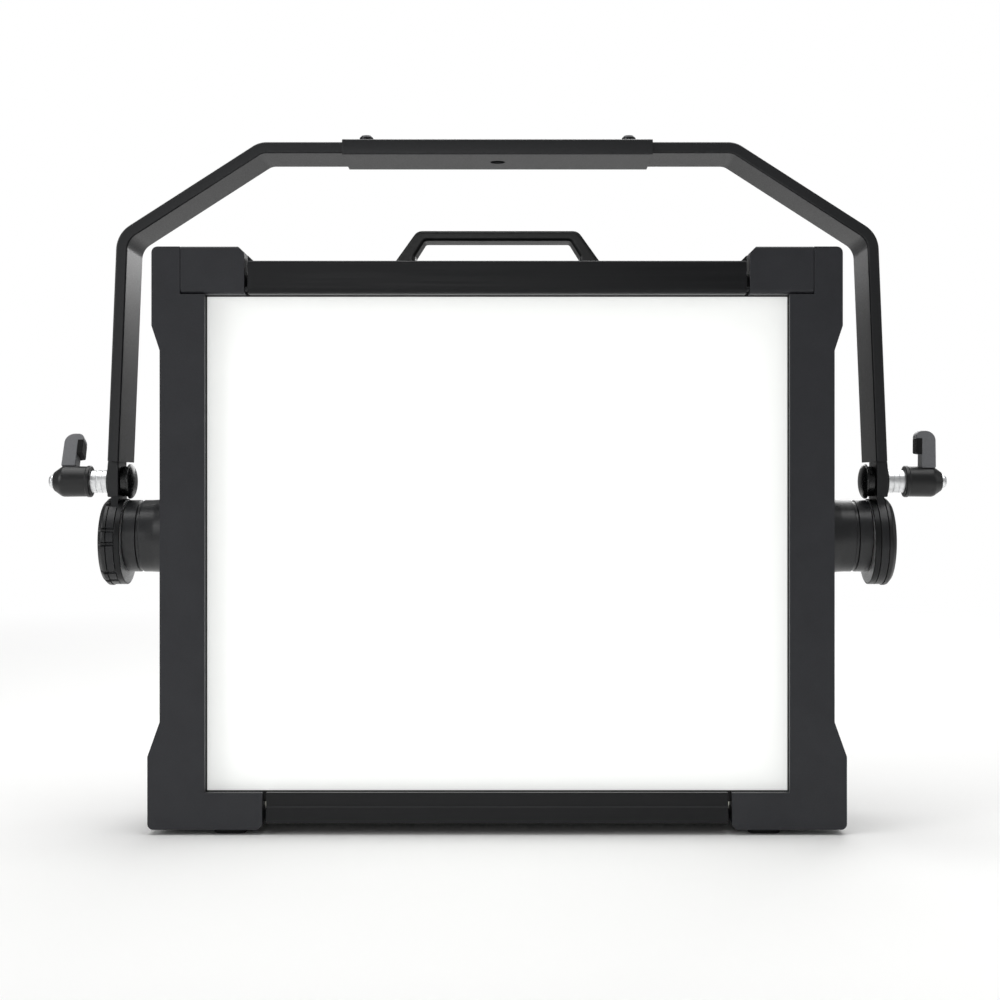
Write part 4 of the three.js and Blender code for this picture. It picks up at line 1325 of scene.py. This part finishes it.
@dataclass
class Yoke:
    """Two bent arms joined by a sleeve, each with a hub plate at its foot."""

    width: float = 50.0
    thickness: float = 8.0
    bar_ease: float = 1.3
    start: float = 9.0
    top_bend: tuple[float, float] = (166.1, 277.0)
    shoulder_bend: tuple[float, float] = (263.4, 214.4)
    foot: tuple[float, float] = (269.8, 57.0)
    bend_radii: tuple[float, float] = (14.0, 16.5)
    hub_radius: float = 30.6
    hub_thickness: float = 5.3
    neck_half: float = 13.0
    neck_thickness: float = 8.0
    neck_start: float = 31.8
    neck_blend: float = 17.0
    neck_reach: float = 15.0
    clamp_rise: float = 42.9
    washer: float = 11.2
    washer_height: float = 1.5
    screw_radius: float = 5.0

    def build(self) -> None:
        """Makes and dresses every piece."""
        self.pivot = float(Extent.of("left_brake_disc").middle[2])
        for side in Side:
            self.arm(side)
            self.screw(side)
        eased_copy("yoke_sleeve", 0.45, YOKE_PAINT, 3)

    def arm(self, side: Side) -> None:
        """Bent bar, hub plate with its neck, and the clamp's washer face."""
        path = rounded(
            [(self.start, self.top_bend[1]), self.top_bend, self.shoulder_bend, self.foot],
            [0, *self.bend_radii, 0], 14, closed=False)
        half = self.thickness / 2
        section = rounded(rectangle(-half, half, -self.width / 2, self.width / 2), self.bar_ease, 5)
        bar = swept(section, path + (0, self.pivot))
        hub = Extent.of("left_brake_disc")
        inner = hub.outer(Side.LEFT) + 0.3
        hub_plate = prism(self.hub_outline(side), Axis.X, inner, inner + self.hub_thickness, 0.15, 2)
        face = inner + self.neck_thickness
        neck = prism(self.neck_outline(inner, face), Axis.Y, -self.neck_half, self.neck_half, 0.9)
        rise = self.pivot + self.clamp_rise
        washer_profile = rounded(
            [[face - 1, 5.4], [face + self.washer_height, 5.4], [face + self.washer_height, self.washer],
             [face - 1, self.washer]],
            [0, 0.2, 0.5, 0], 4)
        washer = lathe(washer_profile, (0.0, rise), steps=72, closed=True)
        node = f"{side.word}_yoke_arm"
        stand_in(node, [shell.on(side) for shell in (bar, hub_plate, neck, washer)], YOKE_PAINT)

    def hub_outline(self, side: Side) -> Array:
        """Hub circle with a strip behind the neck, notched on the left like the knob: points (y, z)."""
        meet = math.degrees(math.asin((self.neck_half + 2.6) / self.hub_radius))
        turn = np.radians(np.linspace(90 + meet, 450 - meet, 400))
        radius = np.full(len(turn), self.hub_radius)
        if side is Side.LEFT:
            radius = GripRim(self.hub_radius).wall(turn)
        rim = np.stack([radius * np.cos(turn), radius * np.sin(turn)], axis=1)
        top = [[self.neck_half, self.neck_start + 1], [-self.neck_half, self.neck_start + 1]]
        return np.vstack([rim, top]) + (0, self.pivot)

    def neck_outline(self, inner: float, outer: float) -> Array:
        """Neck seen from the front, its outer face running into the bar's: points (x, z)."""
        top = self.foot[1] + self.neck_reach
        neck = rounded([
            [inner, self.neck_start],
            [outer, self.neck_start],
            [outer, top - self.neck_blend],
            [self.foot[0] + self.thickness / 2 - 0.7, top],
            [inner, top],
        ], [0.95, 0.95, 30, 0.95, 0.95], 6)
        return neck + (0, self.pivot)

    def screw(self, side: Side) -> None:
        """Button-head screw on the sleeve, its shank in the bar."""
        node = f"{side.word}_sleeve_screw"
        box = Extent.of(node)
        x, y, _ = box.middle
        seat = Extent.of("yoke_sleeve").high[2] - 0.3
        head = key_screw((x, y, seat), Axis.Z, 1, self.screw_radius, box.high[2] - seat, 2.0)
        shank = prism(circle(x, y, 2.9), Axis.Z, box.low[2], seat + 0.5, 0.3, 2)
        stand_in(node, [head, shank], BLACK_SCREW)


@dataclass
class Clamp:
    """Tilt clamp through the arm: domed pad and stud, bright insert, end screw, lever hub and blade."""

    side: Side
    dome: float = 4.6
    pad_radius: float = 12.4
    collar_end: float = 9.9
    insert_radius: float = 8.0
    hub_radius: float = 11.3
    blade_half: float = 6.5
    blade_ease: float = 0.95
    blade_width: float = 10.3
    hook_radius: float = 7.1
    hook_lip: float = 30.2
    # Length of the black pad under the hook, partly rubber, partly painted shade.
    rest_length: float = 10.2
    left_rest: float = 25.0

    def build(self) -> None:
        """Makes and dresses every piece."""
        word = self.side.word
        box = Extent.of(f"{word}_clamp_stud")
        self.axis = (float(box.middle[1]), float(box.middle[2]))
        self.pad = box.inner(self.side)
        rim = self.pad + self.dome
        collar = self.pad + self.collar_end
        back = rounded([
            [rim, self.pad_radius],
            [rim + 0.8, self.pad_radius],
            [rim + 0.8, 10.8],
            [collar, 10.8],
            [collar, 5],
            [box.outer(self.side), 5],
        ], [0, 0.4, 0.3, 0.4, 0.2, 0], 5, closed=False)
        profile = np.vstack([self.pad_dome(), back[1:]])
        shell = lathe(profile, self.axis, steps=96).on(self.side)
        stand_in(f"{word}_clamp_stud", [shell], PAD_ENAMEL)
        self.insert()
        self.end_screw()
        self.hub()
        self.blade()

    def pad_dome(self) -> Array:
        """Domed face of the pad.

        A quarter of an ellipse: at a share t of 90 degrees, the distance from the apex is d (1 - cos t) and
        the radius is R sin t.

        Returns:
            Points (n, 2): distance along the axis, and radius.
        """
        turn = np.radians(np.linspace(2, 90, 22))
        return np.stack([self.pad + self.dome * (1 - np.cos(turn)), self.pad_radius * np.sin(turn)], axis=1)

    def insert(self) -> None:
        """Bright threaded insert with two turned grooves."""
        box = Extent.of(f"{self.side.word}_lever_insert")
        inner, outer = box.inner(self.side), box.outer(self.side)
        radius = self.insert_radius
        grooves = [(inner + 3.6, 0.5), (inner + 7.6, 0.5)]
        corners: list[list[float]] = [[inner, 5.4], [inner, radius]]
        for at, deep in grooves:
            corners += [
                [at - 0.5, radius], [at - 0.3, radius - deep], [at + 0.3, radius - deep], [at + 0.5, radius]]
        corners += [[inner + 11.7, radius], [inner + 11.7, 7.2], [outer, 7.2], [outer, 5.4]]
        profile = rounded(corners, [0, 0.6] + [0.1] * (4 * len(grooves)) + [0.2, 0.1, 0.3, 0], 4)
        shell = lathe(profile, self.axis, steps=72, closed=True).on(self.side)
        stand_in(f"{self.side.word}_lever_insert", [shell], NICKEL)

    def end_screw(self) -> None:
        """End screw of the lever: shank, and a cheese head with a hexagon socket."""
        box = Extent.of(f"{self.side.word}_lever_end_screw")
        inner, outer = box.inner(self.side), box.outer(self.side)
        neck = outer - 13.8
        shank = rounded([[inner, 0.5], [inner, 2.6], [neck + 0.5, 2.6]], [0, 0.3, 0], 3, False)
        head = key_screw((neck, *self.axis), Axis.X, 1, 4.8, outer - neck, 2.2)
        stem = lathe(shank, self.axis, steps=36)
        stand_in(f"{self.side.word}_lever_end_screw", [stem.on(self.side), head.on(self.side)], NICKEL)

    def hub(self) -> None:
        """Lever hub: a hollow barrel with a lip at its inner end and a rounded outer one."""
        box = Extent.of(f"{self.side.word}_lever_hub")
        inner, outer, radius = box.inner(self.side), box.outer(self.side), box.size[1] / 2
        profile = rounded([
            [inner, 7.5],
            [inner, radius],
            [inner + 2.6, radius],
            [inner + 3.2, radius - 0.5],
            [outer - 6.5, radius - 0.3],
            [outer, radius - 4.9],
            [outer, 5.1],
            [outer - 14.7, 5.1],
            [outer - 14.7, 3],
            [outer - 17.9, 3],
            [outer - 17.9, 7.5],
        ], [0, 0.9, 0.4, 0.4, 5.0, 2.0, 0.3, 0, 0, 0, 0], 8)
        shell = lathe(profile, self.axis, steps=96, closed=True).on(self.side)
        stand_in(f"{self.side.word}_lever_hub", [shell], NYLON)

    def blade(self) -> None:
        """Hooked lever blade, narrower towards its tip, with a black rubber pad under the hook that also
        paints in the shade of the hook's underside.
        """
        box = Extent.of("right_lever_blade")
        outer, top = box.high[0], box.high[2]
        rise = self.axis[1]
        root = rise + self.hub_radius - 1.7
        inner = box.low[0]
        stem = outer - self.blade_width
        lip = rise + self.hook_lip
        outline = rounded([
            [stem, root],
            [outer, root],
            [outer, top],
            [inner + 0.9, top],
            [inner, lip],
            [stem, lip],
        ], [1.0, 1.0, self.hook_radius, 4.4, 1.1, 1.0], 8)
        blade = prism(outline, Axis.Y, -self.blade_half, self.blade_half, self.blade_ease, 5)
        share = np.clip((blade.points[:, 2] - root) / (top - root), 0, 1)
        blade.points[:, 1] *= 1 - 0.22 * share ** 1.5
        # Black pad under the hook: partly a rubber pad, partly painted shade for the hook's dark underside.
        rubber_pad_and_shade = rounded([
            [inner + 0.3, lip - self.rest_length],
            [stem + 0.5, lip - self.rest_length - 0.6],
            [stem + 0.5, lip + 0.6],
            [inner + 0.4, lip + 0.6],
        ], [1.0, 0.5, 0.5, 0.5], 4)
        pad = prism(rubber_pad_and_shade, Axis.Y, -self.blade_half + 0.3, self.blade_half - 0.3, 0.45, 3)
        name = f"{self.side.word}_lever"
        stand_in(f"{name}_blade", [self.at_rest(blade)], LEVER_ENAMEL)
        piece(f"{name}_rest", [self.at_rest(pad)], RUBBER, f"{name}_blade")

    def at_rest(self, shell: Shell) -> Shell:
        """The skin on this side; the left lever's is swung back about the clamp's axis."""
        if self.side is Side.RIGHT:
            return shell
        angle = math.radians(self.left_rest)
        spin = np.array(
            [[1, 0, 0], [0, math.cos(angle), math.sin(angle)], [0, -math.sin(angle), math.cos(angle)]])
        centre = (0.0, *self.axis)
        points = (shell.points - centre) @ spin.T + centre
        return Shell(points, shell.quads, shell.caps).on(self.side)


# ---------------------------------------------------------------- studio


@dataclass(frozen=True)
class AreaLamp:
    """Square soft light: where it hangs, what it points at, its side and its power in watts."""

    name: str
    place: tuple[float, float, float]
    target: tuple[float, float, float]
    side: float
    watts: float

    def hang(self) -> None:
        """Puts the light into the scene."""
        data = bpy.data.lights.new(self.name, "AREA")
        data.size = self.side
        data.energy = self.watts
        lamp = bpy.data.objects.new(self.name, data)
        bpy.context.scene.collection.objects.link(lamp)
        lamp.location = self.place
        way = np.subtract(self.target, self.place)
        lamp.rotation_mode = "QUATERNION"
        lamp.rotation_quaternion = Vector(way.tolist()).to_track_quat("-Z", "Y")


@dataclass
class Studio:
    """Pale floor, white surroundings, soft lights and the camera."""

    camera_place: tuple[float, float, float] = (0.0088, -1.2, 0.2322)
    lens: float = 60.3
    shift: tuple[float, float] = (-0.01, -0.005)
    floor_half: float = 14.0
    floor_near: float = 0.5
    floor_far: float = 2.4
    ambient: float = 0.24
    lamps: tuple[AreaLamp, ...] = (
        AreaLamp("overhead_softbox", (0.0, 0.1, 2.3), (0.0, 0.0, 0.0), 2.4, 46.0),
        AreaLamp("left_softbox", (-1.9, -1.2, 1.0), (0.0, 0.0, 0.22), 1.2, 16.0),
        AreaLamp("right_softbox", (2.0, -0.5, 0.9), (0.0, 0.0, 0.22), 1.0, 3.0),
        AreaLamp("low_front_softbox", (-0.3, -2.6, 0.35), (0.0, 0.0, 0.22), 0.9, 6.0),
        AreaLamp("rear_softbox", (0.5, 2.2, 1.4), (0.0, 0.0, 0.22), 1.6, 24.0),
    )

    def build(self) -> None:
        """Makes the floor, the surroundings, the lights and the camera."""
        self.floor()
        self.surroundings()
        for lamp in self.lamps:
            lamp.hang()
        self.camera()
        bpy.context.scene.view_settings.view_transform = "Standard"

    def floor(self) -> None:
        """Pale floor that fades into the surroundings with distance."""
        half = self.floor_half
        mesh = bpy.data.meshes.new("floor")
        corners = Axis.Z.place(rectangle(-half, half, -half, half), np.full(4, -0.0003))
        mesh.from_pydata(corners.tolist(), [], [[0, 1, 2, 3]])
        thing = bpy.data.objects.new("floor", mesh)
        bpy.context.scene.collection.objects.link(thing)
        material = bpy.data.materials.new("pale_studio_floor")
        material.use_nodes = True
        tree = material.node_tree
        paper = tree.nodes["Principled BSDF"]
        paper.inputs["Base Color"].default_value = linear("#f4f4f3")
        paper.inputs["Roughness"].default_value = 0.9
        spot = add(tree, "ShaderNodeTexCoord", {}, {}).outputs["Object"]
        away = add(tree, "ShaderNodeVectorMath", {"operation": "LENGTH"}, {0: spot}).outputs["Value"]
        limits = {"Value": away, "From Min": self.floor_near, "From Max": self.floor_far}
        share = add(tree, "ShaderNodeMapRange", {"interpolation_type": "SMOOTHSTEP"}, limits).outputs[0]
        glow = self.seen_and_felt(tree, "ShaderNodeEmission")
        mixed = add(tree, "ShaderNodeMixShader", {}, {0: share, 1: paper.outputs[0], 2: glow})
        tree.links.new(mixed.outputs[0], tree.nodes["Material Output"].inputs[0])
        mesh.materials.append(material)

    def seen_and_felt(self, tree: bpy.types.NodeTree, kind: str) -> Any:
        """White that is full where it is seen straight on, and dimmer as a light on the object."""
        seen = add(tree, "ShaderNodeLightPath", {}, {}).outputs["Is Camera Ray"]
        limits = {"Value": seen, "To Min": self.ambient, "To Max": 1.0}
        strength = add(tree, "ShaderNodeMapRange", {}, limits).outputs[0]
        return add(tree, kind, {}, {"Color": (1, 1, 1, 1), "Strength": strength}).outputs[0]

    def surroundings(self) -> None:
        """Plain white all round."""
        world = bpy.data.worlds.new("white_studio")
        world.use_nodes = True
        tree = world.node_tree
        tree.nodes.clear()
        white = self.seen_and_felt(tree, "ShaderNodeBackground")
        add(tree, "ShaderNodeOutputWorld", {}, {0: white})
        bpy.context.scene.world = world

    def camera(self) -> None:
        """Camera straight in front, a little below the middle of the yoke."""
        data = bpy.data.cameras.new("camera")
        data.lens = self.lens
        data.shift_x, data.shift_y = self.shift
        camera = bpy.data.objects.new("camera", data)
        bpy.context.scene.collection.objects.link(camera)
        camera.location = self.camera_place
        camera.rotation_euler = (math.pi / 2, 0, 0)
        bpy.context.scene.camera = camera


# ---------------------------------------------------------------- the whole light


def main() -> None:
    """Builds every sub-assembly in order, then the studio."""
    logging.basicConfig(level=logging.INFO)
    parts: list[Any] = [FrontFrame(), TopGate(), Housing(), Cooling(), Insides(), Console(), Handle()]
    parts += [Pivot(side) for side in Side]
    parts += [Yoke(), *(Clamp(side) for side in Side), Studio()]
    for part in parts:
        part.build()
        LOG.info("%s is built", type(part).__name__)


if __name__ == "__main__":
    main()
